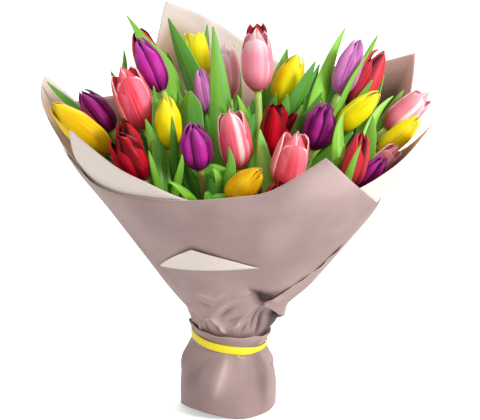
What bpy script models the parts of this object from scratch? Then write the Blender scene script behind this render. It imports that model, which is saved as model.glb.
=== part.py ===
"""Tulip bouquet in florist's paper: cut tulips with their leaves, bound at the waist, wrapped
in three nested sheets with a skirt sheet round the stems, and tied with a flat ribbon.

Metres, +Z up. The origin is on the cut end of the middle stem, on the surface that the bouquet
stands on. The front of the wrap faces -Y. Sizes below are in millimetres.
"""
import math

import bmesh
import bpy
import numpy as np
from mathutils import Vector
from mathutils.bvhtree import BVHTree

MM = 0.001
OBJECT_NAME = "tulip_bouquet"

# Surface colours, as seen (sRGB 0-255), with roughness
COLOURS = {
    "yellow": ((250, 208, 8), 0.42),
    "purple": ((138, 22, 122), 0.42),
    "violet": ((190, 92, 182), 0.42),
    "red": ((196, 14, 34), 0.42),
    "pink": ((236, 104, 124), 0.42),
    "leaf": ((76, 148, 48), 0.48),
    "paper": ((182, 160, 158), 0.8),
    "liner": ((228, 216, 210), 0.8),
    "ribbon": ((250, 232, 12), 0.35),
    "twine": ((196, 178, 140), 0.85),
}

# Each tulip: number, colour, tip (x, y, z), base of the cup (x, y, z), width, and how wide its
# mouth is beside its belly
TULIPS = (
    (1, "yellow", (-173, -23, 320), (-114, -27, 269), 30, 0.5),
    (2, "purple", (-146, 5, 326), (-115, 0, 286), 29, 0.55),
    (3, "pink", (-105, -10, 354), (-81, -16, 292), 37, 0.62),
    (4, "purple", (-90, 27, 375), (-66, 17, 322), 27, 0.42),
    (5, "red", (-92, 84, 374), (-77, 74, 321), 27, 0.65),
    (6, "red", (-102, -54, 311), (-88, -47, 263), 24, 0.6),
    (7, "red", (-106, -86, 304), (-80, -80, 257), 31, 0.68),
    (8, "yellow", (-60, -40, 331), (-57, -40, 278), 26, 0.42),
    (9, "yellow", (-36, 87, 370), (-32, 72, 317), 30, 0.85),
    (10, "violet", (-29, 28, 344), (-20, 22, 299), 22, 0.38),
    (11, "pink", (-5, 68, 362), (0, 58, 305), 26, 0.5),
    (12, "pink", (27, 32, 384), (29, 22, 321), 33, 0.52),
    (13, "red", (28, 84, 380), (31, 68, 321), 27, 0.72),
    (14, "purple", (-34, -76, 313), (-27, -69, 265), 31, 0.5),
    (15, "pink", (1, -55, 322), (11, -50, 261), 33, 0.52),
    (16, "yellow", (31, -108, 275), (0, -86, 241), 27, 0.5),
    (17, "yellow", (71, 55, 353), (49, 42, 302), 29, 0.48),
    (18, "red", (48, -22, 319), (42, -22, 265), 31, 0.7),
    (19, "pink", (66, -80, 306), (52, -72, 248), 34, 0.6),
    (20, "purple", (97, -15, 319), (82, -15, 271), 31, 0.6),
    (21, "violet", (130, 38, 372), (109, 28, 316), 27, 0.38),
    (22, "red", (157, 72, 354), (122, 52, 296), 30, 0.55),
    (23, "yellow", (150, 12, 323), (107, 8, 285), 24, 0.38),
    (24, "pink", (202, 45, 316), (158, 35, 279), 28, 0.55),
    (25, "yellow", (191, 14, 298), (148, 7, 261), 22, 0.42),
    (26, "red", (127, -74, 304), (115, -66, 246), 25, 0.5),
    (27, "purple", (152, -46, 272), (126, -41, 237), 22, 0.42),
    (28, "pink", (167, -20, 277), (134, -15, 238), 22, 0.5),
    (29, "red", (48, -102, 262), (38, -80, 212), 24, 0.62),
)
# Stems that touch each other at the tie and share one node
SHARED_STEMS = ((4, 5), (3, 6), (12, 13), (19, 29))

# Each leaf: tip (x, y, z), a point lower on its midrib, width, and its turn about the midrib
# away from facing the front, in degrees
LEAVES = (
    ((-103, 56, 391), (-46, 27, 314), 26, 12),
    ((-105, 40, 360), (-98, 32, 318), 9, 20),
    ((-62, 62, 385), (-36, 34, 318), 22, -15),
    ((-23, 98, 372), (-24, 84, 318), 11, 10),
    ((-16, 50, 381), (-10, -18, 266), 24, 5),
    ((-38, -3, 328), (-37, -9, 290), 23, -10),
    ((8, 8, 321), (26, 2, 286), 11, 30),
    ((56, 62, 342), (33, 28, 302), 13, -30),
    ((91, 48, 344), (67, 6, 292), 17, 25),
    ((118, 64, 376), (69, 0, 292), 19, 20),
    ((154, 104, 364), (126, 94, 318), 9, -10),
    ((151, 42, 360), (112, 18, 318), 10, 35),
    ((113, -21, 311), (92, -47, 274), 14, 15),
    ((164, 26, 316), (111, -18, 280), 15, 35),
    ((151, -14, 312), (142, -30, 270), 15, -20),
    ((178, 64, 314), (164, 56, 296), 9, 20),
    ((124, -96, 296), (108, -94, 260), 8, 10),
    ((112, -64, 286), (106, -68, 262), 9, 30),
    ((30, -48, 300), (34, -62, 262), 17, 15),
    ((0, -82, 289), (12, -96, 252), 13, -15),
    ((-56, -102, 262), (-24, -102, 248), 11, 60),
    ((-84, -26, 338), (-62, -66, 266), 15, 25),
    ((-75, -90, 289), (-66, -96, 262), 9, 20),
    ((-170, 6, 329), (-148, 4, 303), 9, 30),
    ((-54, -60, 316), (-48, -62, 270), 9, 10),
    ((-44, -84, 284), (-40, -90, 262), 8, 15),
    ((-22, -112, 254), (-10, -106, 244), 12, 50),
    ((-16, -86, 270), (8, -84, 264), 11, 62),
    ((-120, 62, 334), (-100, 48, 296), 16, 150),
    ((60, 110, 348), (50, 88, 300), 18, 170),
    ((-64, 104, 346), (-52, 84, 300), 17, 190),
    ((4, 116, 350), (6, 94, 300), 18, 180),
    ((110, 108, 330), (92, 88, 290), 17, 160),
    ((160, 96, 322), (138, 76, 286), 15, 150),
    ((180, 66, 302), (158, 52, 272), 13, 120),
)
LEAF_ROOT_DROP = 62
LEAF_THICKNESS = 1.5
LEAF_CUP = 0.38
LEAF_ROWS = 6
LEAF_CLEARANCE = 0.7
LEAF_SHIFTS = (0, 6, -6, 12, -12, 19, -19, 27, -27)
LEAF_NARROWINGS = (1.0, 0.75, 0.5)

PETAL_THICKNESS = 1.2
WHORL_GAP = 1.1
BLOOM_COLUMNS = 12
BLOOM_NECK = 3.6
BLOOM_TURN = 0.7
BLOOM_TROUGH = 0.36
BLOOM_FLOOR = 0.3
# Tip and notch heights of the outer and the inner whorl
WHORL_RIMS = ((1.0, 0.46), (0.97, 0.52))
LEAST_RADIUS = 1.2
JOINT_GAP = 0.3

STEM_RADIUS = 4.1
STEM_TOP_RADIUS = 3.5
STEM_CLEAR = 2.2
TIE_PITCH = 9.0
TIE_LOW = 58
TIE_HIGH = 72
CUT_LENGTH = 8
FAN_AT_CUT = 1.5
SPIRAL_AT_CUT = math.radians(22)
TOUCH_PITCH = 6.2
STEM_NECK_LENGTH = 14
STEM_STEP = 50
RELAX_STEP = 10
RELAX_ROUNDS = 160

PAPER_THICKNESS = 0.8
# Inner sheet of the wrap: height, half-width, half-depth, shift to the right
WRAP_PROFILE = (
    (0, 32.2, 32.2, 0),
    (66, 32.2, 32.2, 0),
    (78, 32.8, 32.8, 0),
    (100, 43.5, 42, 4.5),
    (136, 73.5, 64, 9),
    (202, 124, 104, 14),
    (245, 153, 126, 13),
    (292, 180, 148, 16),
    (400, 247, 202, 18),
)
# Distance from one nested sheet to the next: height, distance
LAYER_STEP = ((78, 1.7), (110, 2.5))
SHEET_BOTTOM = 60
WAIST_ROWS = (SHEET_BOTTOM, 78, 100, 136)
SHEET_COLUMN = 12
WRAP_CORNERS = (-150, -67, -12, 27, 35, 111, 163)
CORNER_CLEAR = 3.5
SHEET_ROWS = 3
# Rim heights of the sheets by angle round the wrap, from +X towards the back
LINER_RIM = (
    (-170, 258), (-163, 276), (-150, 312), (-145, 300), (-134, 276), (-123, 264), (-112, 252),
    (-95, 244), (-70, 242), (-46, 252), (-35, 262), (-22, 278), (-12, 306), (-2, 286), (10, 262),
    (22, 262), (27, 306), (35, 345), (43, 335), (66, 314), (90, 300), (138, 300), (160, 303),
)
FRONT_RIM = (
    (-175, 280), (-160, 254), (-143, 246), (-125, 247), (-108, 250), (-94, 255), (-82, 262),
    (-67, 295), (-56, 270), (-40, 244), (-12, 215), (0, 160),
)
BACK_RIM = (
    (-60, 130), (-52, 154), (-34, 170), (-18, 186), (-5, 215), (10, 240), (30, 262), (50, 286),
    (72, 311), (88, 337), (99, 364), (111, 385), (115.5, 349), (134, 295), (150, 290), (163, 332),
    (174, 314), (185, 288), (197, 256), (207, 226), (214, 196),
)
# Where the back sheet's front end hangs free, its lower edge: angle, height
BACK_HEM = ((-60, 124), (-48, 110), (-36, 78), (-24, SHEET_BOTTOM))
# The front sheet's lower corner, turned up: angle and height of its three points
TURNED_CORNER = ((-150, 158), (-81, 172), (-114, 192))
TURNED_LIFT = 1.3
# Skirt sheet: height, half-width, half-depth
SKIRT_PROFILE = ((0, 48.4, 51), (29, 48.4, 51), (47, 46.3, 47), (58, 41, 41), (66, 37.3, 37.3),
                 (74, 37.3, 37.3), (80, 40, 40))
SKIRT_SWING = 0.2
SKIRT_SHIFT = -1.2
SKIRT_FOOT = (58, 29)
RIBBON_LOW = 66
RIBBON_HIGH = 74
RIBBON_THICKNESS = 0.8
RIBBON_RADIUS = 38.4
BAND_INNER = 28.4
BAND_OUTER = 31.2
BAND_LOW = 60
BAND_HIGH = 71
# The ribbon's knot: how far out of the ribbon, its height, its size, and its ends' place and size
KNOT_OUT = 2.2
KNOT_HEIGHT = 70
KNOT_SIZE = (10, 5, 9)
KNOT_END_AT = (6.5, 4.8, 59.5)
KNOT_END_SIZE = (6.5, 1, 21)
KNOT_END_TILT = (0.36, 0.35)


def start_clean():
    """Remove what the scene holds, and return the collection for the object."""
    for item in list(bpy.data.objects):
        bpy.data.objects.remove(item, do_unlink=True)
    collection = bpy.data.collections.new(OBJECT_NAME)
    bpy.context.scene.collection.children.link(collection)
    return collection


def material(name):
    """A plain finish: the colour as seen, its roughness, and no metal."""
    found = bpy.data.materials.get(name)
    if found:
        return found
    seen, roughness = COLOURS[name]
    linear = [((c / 255 + 0.055) / 1.055) ** 2.4 for c in seen]
    made = bpy.data.materials.new(name)
    made.use_nodes = True
    shader = made.node_tree.nodes["Principled BSDF"]
    shader.inputs["Base Color"].default_value = (*linear, 1)
    shader.inputs["Roughness"].default_value = roughness
    shader.inputs["Metallic"].default_value = 0
    return made


def mesh_object(name, points, faces, finish, collection):
    """An object from points in millimetres, with its faces turned outwards."""
    mesh = bpy.data.meshes.new(name)
    mesh.from_pydata([Vector(p) * MM for p in points], [], faces)
    work = bmesh.new()
    work.from_mesh(mesh)
    bmesh.ops.recalc_face_normals(work, faces=work.faces)
    work.to_mesh(mesh)
    work.free()
    made = bpy.data.objects.new(name, mesh)
    collection.objects.link(made)
    mesh.materials.append(material(finish))
    return made


def loft(rings, closed_ends=True):
    """Points and quads of a skin over rings of equal length, each ring a closed loop."""
    count = len(rings[0])
    points = [p for ring in rings for p in ring]
    faces = []
    for row in range(len(rings) - 1):
        for col in range(count):
            after = (col + 1) % count
            low, high = row * count, (row + 1) * count
            faces.append((low + col, low + after, high + after, high + col))
    if closed_ends:
        faces.append(tuple(reversed(range(count))))
        faces.append(tuple(range((len(rings) - 1) * count, len(rings) * count)))
    return points, faces


# Blooms
def belly(v, mouth):
    """Radius of a cup beside its widest, at height v from its base (0) to its tip (1)."""
    heights = (0, 0.1, 0.25, 0.42, 0.62, 0.82, 1)
    shoulder = 0.9 + 0.08 * mouth
    radii = (0.26, 0.66, 0.95, 1.0, shoulder, 0.55 * shoulder + 0.45 * mouth, mouth)
    return float(np.interp(v, heights, radii))


def whorl_rim(angle, tip, notch):
    """Height of a whorl's rim: three pointed petals, with deep notches between them."""
    from_tip = abs((math.degrees(angle) + 60) % 120 - 60) / 60
    return tip - (tip - notch) * from_tip ** 1.7


def frame_along(low, high, facing=(0, -1, 0)):
    """Side, front and axis directions of a cup that points from low to high."""
    axis = (Vector(high) - Vector(low)).normalized()
    side = axis.cross(Vector(facing)).normalized()
    return side, side.cross(axis).normalized(), axis


def bloom(number, colour, tip, base, width, mouth, collection):
    """A cup of six petals in two whorls, one closed skin from the outer petals over their
    rims, down between the whorls, over the inner petals and down to the floor of the cup."""
    side, front, axis = frame_along(base, tip)
    length = (Vector(tip) - Vector(base)).length
    radius = width / 2
    turn = number * BLOOM_TURN
    columns = [math.tau * j / BLOOM_COLUMNS for j in range(BLOOM_COLUMNS)]
    outer_rim = [whorl_rim(a, *WHORL_RIMS[0]) for a in columns]
    inner_rim = [whorl_rim(a + math.pi / 3, *WHORL_RIMS[1]) for a in columns]

    def ring(heights, inset):
        points = []
        for angle, v in zip(columns, heights):
            r = max(radius * belly(v, mouth) - inset, LEAST_RADIUS)
            out = side * math.cos(angle + turn) + front * math.sin(angle + turn)
            points.append(Vector(base) + out * r + axis * (v * length))
        return points

    inner = PETAL_THICKNESS + WHORL_GAP
    neck = [Vector(base) + (side * math.cos(a + turn) + front * math.sin(a + turn)) * BLOOM_NECK
            for a in columns]
    rings = [
        neck,
        *(ring([part * (1 - (1 - r) * part) for r in outer_rim], 0) for part in (0.24, 0.6)),
        ring(outer_rim, 0),
        ring([r - 0.015 for r in outer_rim], PETAL_THICKNESS),
        ring([(r + BLOOM_TROUGH) / 2 for r in outer_rim], PETAL_THICKNESS),
        ring([BLOOM_TROUGH] * BLOOM_COLUMNS, PETAL_THICKNESS + 0.3),
        ring([(r + BLOOM_TROUGH) / 2 for r in inner_rim], inner),
        ring(inner_rim, inner),
        ring([r - 0.015 for r in inner_rim], inner + PETAL_THICKNESS),
        ring([(r + BLOOM_TROUGH) / 2 for r in inner_rim], inner + PETAL_THICKNESS),
        ring([BLOOM_FLOOR] * BLOOM_COLUMNS, inner + 2.5 * PETAL_THICKNESS),
    ]
    points, faces = loft(rings)
    return mesh_object(f"bloom_{number:02d}", points, faces, colour, collection)


# Stems
def tie_places(tulips):
    """Places at the tie, on a close hexagonal pattern: nearest tulips to nearest places, then
    swapped in pairs while that shortens the stems' way and keeps shared stems neighbours."""
    spots = [(p + q / 2, q * math.sqrt(3) / 2) for p in range(-4, 5) for q in range(-4, 5)]
    spots.sort(key=lambda s: (round(math.hypot(*s), 6), round(math.atan2(s[1], s[0]), 6)))
    spots = np.array(spots[:len(tulips)]) * TIE_PITCH
    heads = np.array([t[3][:2] for t in tulips], float)
    target = heads * 0.16
    numbers = [t[0] for t in tulips]
    mates = [(numbers.index(a), numbers.index(b)) for a, b in SHARED_STEMS]
    order = list(np.argsort(np.arctan2(target[:, 1], target[:, 0])))
    rank = list(np.argsort(np.arctan2(spots[:, 1], spots[:, 0])))
    place = np.zeros(len(tulips), int)
    place[order] = rank

    def cost():
        total = float(((spots[place] - target) ** 2).sum())
        for a, b in mates:
            apart = float(np.hypot(*(spots[place[a]] - spots[place[b]])))
            total += 40 * max(0, apart - TIE_PITCH * 1.01) ** 2
        return total

    best = cost()
    for _ in range(12):
        improved = False
        for a in range(len(tulips)):
            for b in range(a):
                place[a], place[b] = place[b], place[a]
                now = cost()
                if now < best - 1e-6:
                    best = now
                    improved = True
                else:
                    place[a], place[b] = place[b], place[a]
        if not improved:
            break
    return spots[place], mates


def cup_radius(tulip, v):
    """Outer radius of a tulip's cup at v, the part of its height above its base."""
    return tulip[4] / 2 * belly(min(max(v, 0), 1), tulip[5])


def stem_routes(tulips):
    """The middle line of each stem, from its cut end through the tie to its bloom. Above the
    tie the stems are bent clear of each other and of the cups that they pass."""
    ties, mates = tie_places(tulips)
    bases = np.array([t[3] for t in tulips], float)
    tips = np.array([t[2] for t in tulips], float)
    axes = tips - bases
    lengths = np.linalg.norm(axes, axis=1)
    axes /= lengths[:, None]
    tops = bases - axes * JOINT_GAP
    necks = tops - axes * STEM_NECK_LENGTH
    levels = np.arange(TIE_HIGH, 330, RELAX_STEP, dtype=float)
    count = len(tulips)
    path = np.zeros((count, len(levels), 2))
    for i in range(count):
        rise = necks[i, 2] - TIE_HIGH
        start = (necks[i, :2] - ties[i]) / rise * 0.55
        end = axes[i, :2] / axes[i, 2]
        end *= min(1, 0.9 / max(float(np.hypot(*end)), 1e-6))
        for k, z in enumerate(levels):
            t = min((z - TIE_HIGH) / rise, 1)
            path[i, k] = ((2 * t**3 - 3 * t**2 + 1) * ties[i] + (t**3 - 2 * t**2 + t) * rise * start
                          + (3 * t**2 - 2 * t**3) * necks[i, :2] + (t**3 - t**2) * rise * end)
    first = path.copy()
    alive = levels[None, :] < necks[:, 2][:, None] - RELAX_STEP * 0.5
    for _ in range(RELAX_ROUNDS):
        slopes = np.gradient(path, RELAX_STEP, axis=1)
        for k in range(1, len(levels)):
            here = [i for i in range(count) if alive[i, k]]
            for a_pos, a in enumerate(here):
                for b in here[:a_pos]:
                    gap = path[a, k] - path[b, k]
                    flat = float(np.hypot(*gap))
                    if flat > 24:
                        continue
                    lean = (slopes[a, k] + slopes[b, k]) / 2
                    along = float(gap @ lean) / math.sqrt(1 + float(lean @ lean))
                    real = math.sqrt(max(flat**2 - along**2, 1e-4))
                    short = 2 * STEM_RADIUS + STEM_CLEAR * min(1, k / 4) - real
                    if short > 0:
                        push = gap / max(flat, 1e-3) * short * 0.3
                        path[a, k] += push
                        path[b, k] -= push
            for a in here:
                point = np.array([*path[a, k], levels[k]])
                to_head = point - bases
                up = (to_head * axes).sum(axis=1)
                near = np.clip(up, 0, lengths)
                away = point - (bases + axes * near[:, None])
                for b in range(count):
                    if a == b or up[b] < -12 or up[b] > lengths[b] + 6:
                        continue
                    reach = cup_radius(tulips[b], near[b] / lengths[b]) + STEM_RADIUS + 2
                    real = float(np.linalg.norm(away[b]))
                    flat = away[b][:2]
                    size = float(np.hypot(*flat))
                    if real < reach and size > 1e-3:
                        path[a, k] += flat / size * (reach - real) * 0.6
        drift = path - first
        smooth = drift.copy()
        smooth[:, 1:-1] = (drift[:, :-2] + 2 * drift[:, 1:-1] + drift[:, 2:]) / 4
        for i in range(count):
            last = int(alive[i].sum())
            smooth[i, last:] = 0
            if last > 1:
                smooth[i, last - 1] *= 0.6
        smooth[:, 0] = 0
        path = first + smooth
    routes = {}
    shifted = ties.copy()
    for a, b in mates:
        toward = ties[b] - ties[a]
        shifted[b] = ties[a] + toward / np.hypot(*toward) * TOUCH_PITCH
    for i, tulip in enumerate(tulips):
        turned = np.array([
            ties[i, 0] * math.cos(SPIRAL_AT_CUT) - ties[i, 1] * math.sin(SPIRAL_AT_CUT),
            ties[i, 0] * math.sin(SPIRAL_AT_CUT) + ties[i, 1] * math.cos(SPIRAL_AT_CUT)])
        cut = turned * FAN_AT_CUT
        route = [(*cut, 0), (*cut, CUT_LENGTH), (*shifted[i], TIE_LOW), (*shifted[i], TIE_HIGH)]
        for z in np.arange(TIE_HIGH + STEM_STEP, necks[i, 2] - STEM_STEP * 0.3, STEM_STEP):
            k = int(round((z - TIE_HIGH) / RELAX_STEP))
            route.append((*path[i, k], levels[k]))
        route += [tuple(necks[i]), tuple(tops[i])]
        routes[tulip[0]] = [Vector(p) for p in route]
    return routes


def stem_mesh(number, route, collection):
    """A stem as a curve with a round bevel, thinner at its top, made a closed mesh."""
    curve = bpy.data.curves.new(f"stem_{number:02d}", "CURVE")
    curve.dimensions = "3D"
    curve.bevel_depth = STEM_RADIUS * MM
    curve.bevel_resolution = 1
    curve.use_fill_caps = True
    spline = curve.splines.new("POLY")
    spline.points.add(len(route) - 1)
    for i, point in enumerate(route):
        spline.points[i].co = (*(point * MM), 1)
        height = max(0, (point.z - TIE_HIGH) / max(route[-1].z - TIE_HIGH, 1))
        spline.points[i].radius = 1 + (STEM_TOP_RADIUS / STEM_RADIUS - 1) * height
    rod = bpy.data.objects.new(curve.name, curve)
    collection.objects.link(rod)
    bpy.context.view_layer.update()
    seen = rod.evaluated_get(bpy.context.evaluated_depsgraph_get())
    mesh = bpy.data.meshes.new_from_object(seen)
    bpy.data.objects.remove(rod, do_unlink=True)
    work = bmesh.new()
    work.from_mesh(mesh)
    bmesh.ops.remove_doubles(work, verts=work.verts, dist=0.00001)
    bmesh.ops.recalc_face_normals(work, faces=work.faces)
    work.to_mesh(mesh)
    work.free()
    made = bpy.data.objects.new(f"stem_{number:02d}", mesh)
    collection.objects.link(made)
    mesh.materials.clear()
    mesh.materials.append(material("leaf"))
    return made


# Leaves
def along(route, z):
    """The point and direction of a stem's middle line at a height."""
    for low, high in zip(route, route[1:]):
        if low.z <= z <= high.z:
            part = (z - low.z) / max(high.z - low.z, 1e-6)
            return low.lerp(high, part), (high - low).normalized()
    return route[-1], (route[-1] - route[-2]).normalized()


def nearest_stem(point, routes):
    """The stem that passes nearest to a point of a leaf's midrib."""
    return min(routes, key=lambda n: (along(routes[n], point.z - LEAF_ROOT_DROP / 2)[0]
                                      - (point - Vector((0, 0, LEAF_ROOT_DROP / 2)))).length)


def blade(tip, lower, route, width, turn, grow=0.0):
    """Points and faces of a leaf: a cupped blade with a pointed tip, whose root is sunk in its
    stem. Its section is a chevron, split into triangles alike on both faces."""
    root, rising = along(route, max(lower.z - LEAF_ROOT_DROP, TIE_HIGH + 25))
    length = (tip - root).length
    controls = (root, root + rising * length * 0.3,
                lower.lerp(tip, 0.3) + (lower - root).normalized() * 2, tip)
    rings = []
    for row in range(LEAF_ROWS + 1):
        t = row / LEAF_ROWS * 0.985
        s = 1 - t
        spine = (controls[0] * s**3 + controls[1] * 3 * s**2 * t
                 + controls[2] * 3 * s * t**2 + controls[3] * t**3)
        way = ((controls[1] - controls[0]) * s**2 + (controls[2] - controls[1]) * 2 * s * t
               + (controls[3] - controls[2]) * t**2).normalized()
        facing = Vector((math.sin(math.radians(turn)), -math.cos(math.radians(turn)), 0))
        across = way.cross(facing).normalized()
        face = across.cross(way).normalized()
        half = (width / 2) * leaf_outline(row / LEAF_ROWS) + grow
        thick = (LEAF_THICKNESS / 2 + grow) * (1 if row < LEAF_ROWS else 0.5)
        cup = LEAF_CUP * half * (1 + 0.25 * math.sin(row * 2.4 + turn))
        rings.append([spine - across * half - face * cup, spine + face * thick,
                      spine + across * half - face * cup, spine - face * thick])
    points = [p for ring in rings for p in ring]
    faces = []
    for row in range(LEAF_ROWS):
        low, high = row * 4, row * 4 + 4
        for edge, mid in ((0, 1), (2, 1), (2, 3), (0, 3)):
            quad = (low + edge, low + mid, high + mid, high + edge)
            if (edge, mid) in ((2, 1), (0, 3)):
                faces += [(quad[0], quad[3], quad[2]), (quad[0], quad[2], quad[1])]
            else:
                faces += [(quad[0], quad[1], quad[2]), (quad[0], quad[2], quad[3])]
    faces += [(0, 1, 3), (1, 2, 3)]
    top = LEAF_ROWS * 4
    faces += [(top, top + 3, top + 1), (top + 1, top + 3, top + 2)]
    return points, faces


def leaf_outline(t):
    """Half-width of a leaf beside its widest, from its root (0) to its tip (1)."""
    stations = (0, 0.16, 0.34, 0.5, 0.68, 0.85, 1)
    widths = (0.3, 0.55, 0.86, 1.0, 0.9, 0.55, 0.06)
    return float(np.interp(t, stations, widths))


def tree_of(points, faces):
    """A search tree over a skin, in millimetres."""
    return BVHTree.FromPolygons([tuple(p) for p in points], faces)


def solid_tree(item):
    """A search tree over a finished object, in millimetres."""
    seen = item.evaluated_get(bpy.context.evaluated_depsgraph_get())
    mesh = seen.to_mesh()
    tree = tree_of([v.co / MM for v in mesh.vertices], [tuple(p.vertices) for p in mesh.polygons])
    seen.to_mesh_clear()
    return tree


def leaf_choices(tip, lower, width):
    """A leaf's place, and then the places beside it that it may take to stay clear."""
    for narrow in LEAF_NARROWINGS:
        for dx in LEAF_SHIFTS[:5]:
            for dy in LEAF_SHIFTS:
                shift = Vector((dx, dy, 0))
                yield tip + shift, lower + shift * 0.5, width * narrow


def place_leaves(routes, blooms, stems, sheets):
    """Each leaf takes the first of its places where it touches nothing but its own stem."""
    obstacles = [(None, solid_tree(item)) for item in blooms + sheets]
    obstacles += [(number, solid_tree(item)) for number, item in stems.items()]
    placed = {number: [] for number in routes}
    for index, (tip, lower, width, turn) in enumerate(LEAVES):
        number = nearest_stem(Vector(lower), routes)
        for at, low, wide in leaf_choices(Vector(tip), Vector(lower), width):
            tree = tree_of(*blade(at, low, routes[number], wide, turn, LEAF_CLEARANCE))
            if any(own != number and tree.overlap(other) for own, other in obstacles):
                continue
            skin = blade(at, low, routes[number], wide, turn)
            placed[number].append(skin)
            obstacles.append((number, tree_of(*skin)))
            break
        else:
            print(f"leaf {index} of stem {number} has no clear place")
    return placed


def joined(base, extras, name):
    """One body from a stem and what grows from it."""
    if extras:
        group = bpy.data.collections.new("grown")
        bpy.context.scene.collection.children.link(group)
        for item in extras:
            for home in list(item.users_collection):
                home.objects.unlink(item)
            group.objects.link(item)
        union = base.modifiers.new("grown", "BOOLEAN")
        union.operation = "UNION"
        union.operand_type = "COLLECTION"
        union.collection = group
        mesh = None
        for solver in ("EXACT", "MANIFOLD"):
            union.solver = solver
            bpy.context.view_layer.update()
            seen = base.evaluated_get(bpy.context.evaluated_depsgraph_get())
            mesh = bpy.data.meshes.new_from_object(seen)
            if is_closed(mesh):
                break
        base.modifiers.clear()
        base.data = mesh
        for item in extras:
            bpy.data.objects.remove(item, do_unlink=True)
        bpy.data.collections.remove(group)
    base.name = name
    return base


def is_closed(mesh):
    """True when each edge of a mesh has exactly two faces."""
    work = bmesh.new()
    work.from_mesh(mesh)
    closed = all(len(edge.link_faces) == 2 for edge in work.edges)
    work.free()
    return closed


# Paper
def wrap_size(z, layer):
    """Half-width, half-depth and shift of a nested sheet of the wrap at a height."""
    table = np.array(WRAP_PROFILE, float)
    half_x, half_y, shift = (float(np.interp(z, table[:, 0], table[:, c])) for c in (1, 2, 3))
    steps = np.array(LAYER_STEP)
    out = layer * float(np.interp(z, steps[:, 0], steps[:, 1]))
    return half_x + out, half_y + out, shift


def wrap_point(angle, z, layer, lift=0.0):
    """A point on a sheet of the wrap; angle in degrees from +X towards the back."""
    half_x, half_y, shift = wrap_size(z, layer)
    turn = math.radians(angle)
    return Vector((shift + (half_x + lift) * math.cos(turn), (half_y + lift) * math.sin(turn), z))


def sheet_angles(start, end):
    """Angles of a sheet's columns: its two ends, and between them the columns that all the
    sheets share, at even steps and at each cut corner."""
    def apart(a, b):
        return abs((a - b + 180) % 360 - 180)

    steps = [a for a in range(-360, 361, SHEET_COLUMN)
             if all(apart(a, corner) > CORNER_CLEAR for corner in WRAP_CORNERS)]
    shared = sorted(steps + [corner + turn for corner in WRAP_CORNERS for turn in (-360, 0)])
    return [start, *(a for a in shared if a - start > 2.5 and end - a > 2.5), end]


def paper(name, grid, finish, collection, closed=False):
    """A sheet of paper over a grid of points: triangles first, then its thickness."""
    rows = len(grid[0])
    points = [p for column in grid for p in column]
    faces = []
    for col in range(len(grid) if closed else len(grid) - 1):
        after = (col + 1) % len(grid)
        for row in range(rows - 1):
            a, b = col * rows + row, after * rows + row
            faces += [(a, b, b + 1), (a, b + 1, a + 1)]
    sheet = mesh_object(name, points, faces, finish, collection)
    thick = sheet.modifiers.new("thickness", "SOLIDIFY")
    thick.thickness = PAPER_THICKNESS * MM
    thick.offset = 0
    thick.use_even_offset = False
    return sheet


def wrap_sheet(name, rim, layer, finish, collection, hem=None):
    """A sheet of the wrap, from the waist up to a cut rim."""
    rim_angles, rim_heights = zip(*rim)
    grid = []
    for angle in sheet_angles(rim_angles[0], rim_angles[-1]):
        top = float(np.interp(angle, rim_angles, rim_heights))
        low = SHEET_BOTTOM if hem is None else float(np.interp(angle, *zip(*hem)))
        rows = len(WAIST_ROWS) + SHEET_ROWS
        if low > SHEET_BOTTOM:
            heights = [low + (top - low) * i / (rows - 1) for i in range(rows)]
        else:
            start = WAIST_ROWS[-1]
            heights = [*WAIST_ROWS]
            heights += [start + (top - start) * i / SHEET_ROWS for i in range(1, SHEET_ROWS + 1)]
        grid.append([wrap_point(angle, z, layer) for z in heights])
    return paper(name, grid, finish, collection)


def turned_corner(front, collection):
    """The front sheet's lower corner, folded up flat against it and joined to it."""
    rows = 6
    left, right, top = (np.array(p, float) for p in TURNED_CORNER)
    inner, outer, faces = [], [], []
    for i in range(rows + 1):
        low = left + (right - left) * i / rows
        for j in range(rows + 1 - i):
            spot = left + (right - left) * i / rows + (top - left) * j / rows
            inner.append(wrap_point(spot[0], spot[1], 1, -0.42))
            outer.append(wrap_point(spot[0], spot[1], 1, TURNED_LIFT))
    starts = [sum(rows + 1 - k for k in range(i)) for i in range(rows + 2)]
    half = len(inner)
    for i in range(rows):
        for j in range(rows - i):
            a, b = starts[i] + j, starts[i + 1] + j
            cells = [(a, b, a + 1)]
            if j < rows - i - 1:
                cells.append((a + 1, b, b + 1))
            for cell in cells:
                faces.append(cell)
                faces.append(tuple(half + c for c in reversed(cell)))
    rim = [starts[i] for i in range(rows + 1)]
    rim += [starts[rows - j] + j for j in range(1, rows + 1)]
    rim += [rows - j for j in range(1, rows)]
    for a, b in zip(rim, rim[1:] + rim[:1]):
        faces += [(a, half + a, b), (b, half + a, half + b)]
    flap = mesh_object("turned_corner", inner + outer, faces, "paper", collection)
    solid = bpy.data.meshes.new_from_object(
        front.evaluated_get(bpy.context.evaluated_depsgraph_get()))
    front.modifiers.clear()
    front.data = solid
    return joined(front, [flap], "front_sheet")


def skirt_point(angle, z, out=0.0):
    """A point on the skirt sheet, whose foot is swung a little towards the left front."""
    table = np.array(SKIRT_PROFILE, float)
    half_x, half_y = (float(np.interp(z, table[:, 0], table[:, c])) for c in (1, 2))
    turn = math.radians(angle)
    start, length = SKIRT_FOOT
    foot = min(1, max(0, (start - z) / length))
    swing = SKIRT_SWING * foot
    return Vector((SKIRT_SHIFT * foot + (half_x + out) * math.cos(turn),
                   (half_y + out) * math.sin(turn + swing), z))


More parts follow.
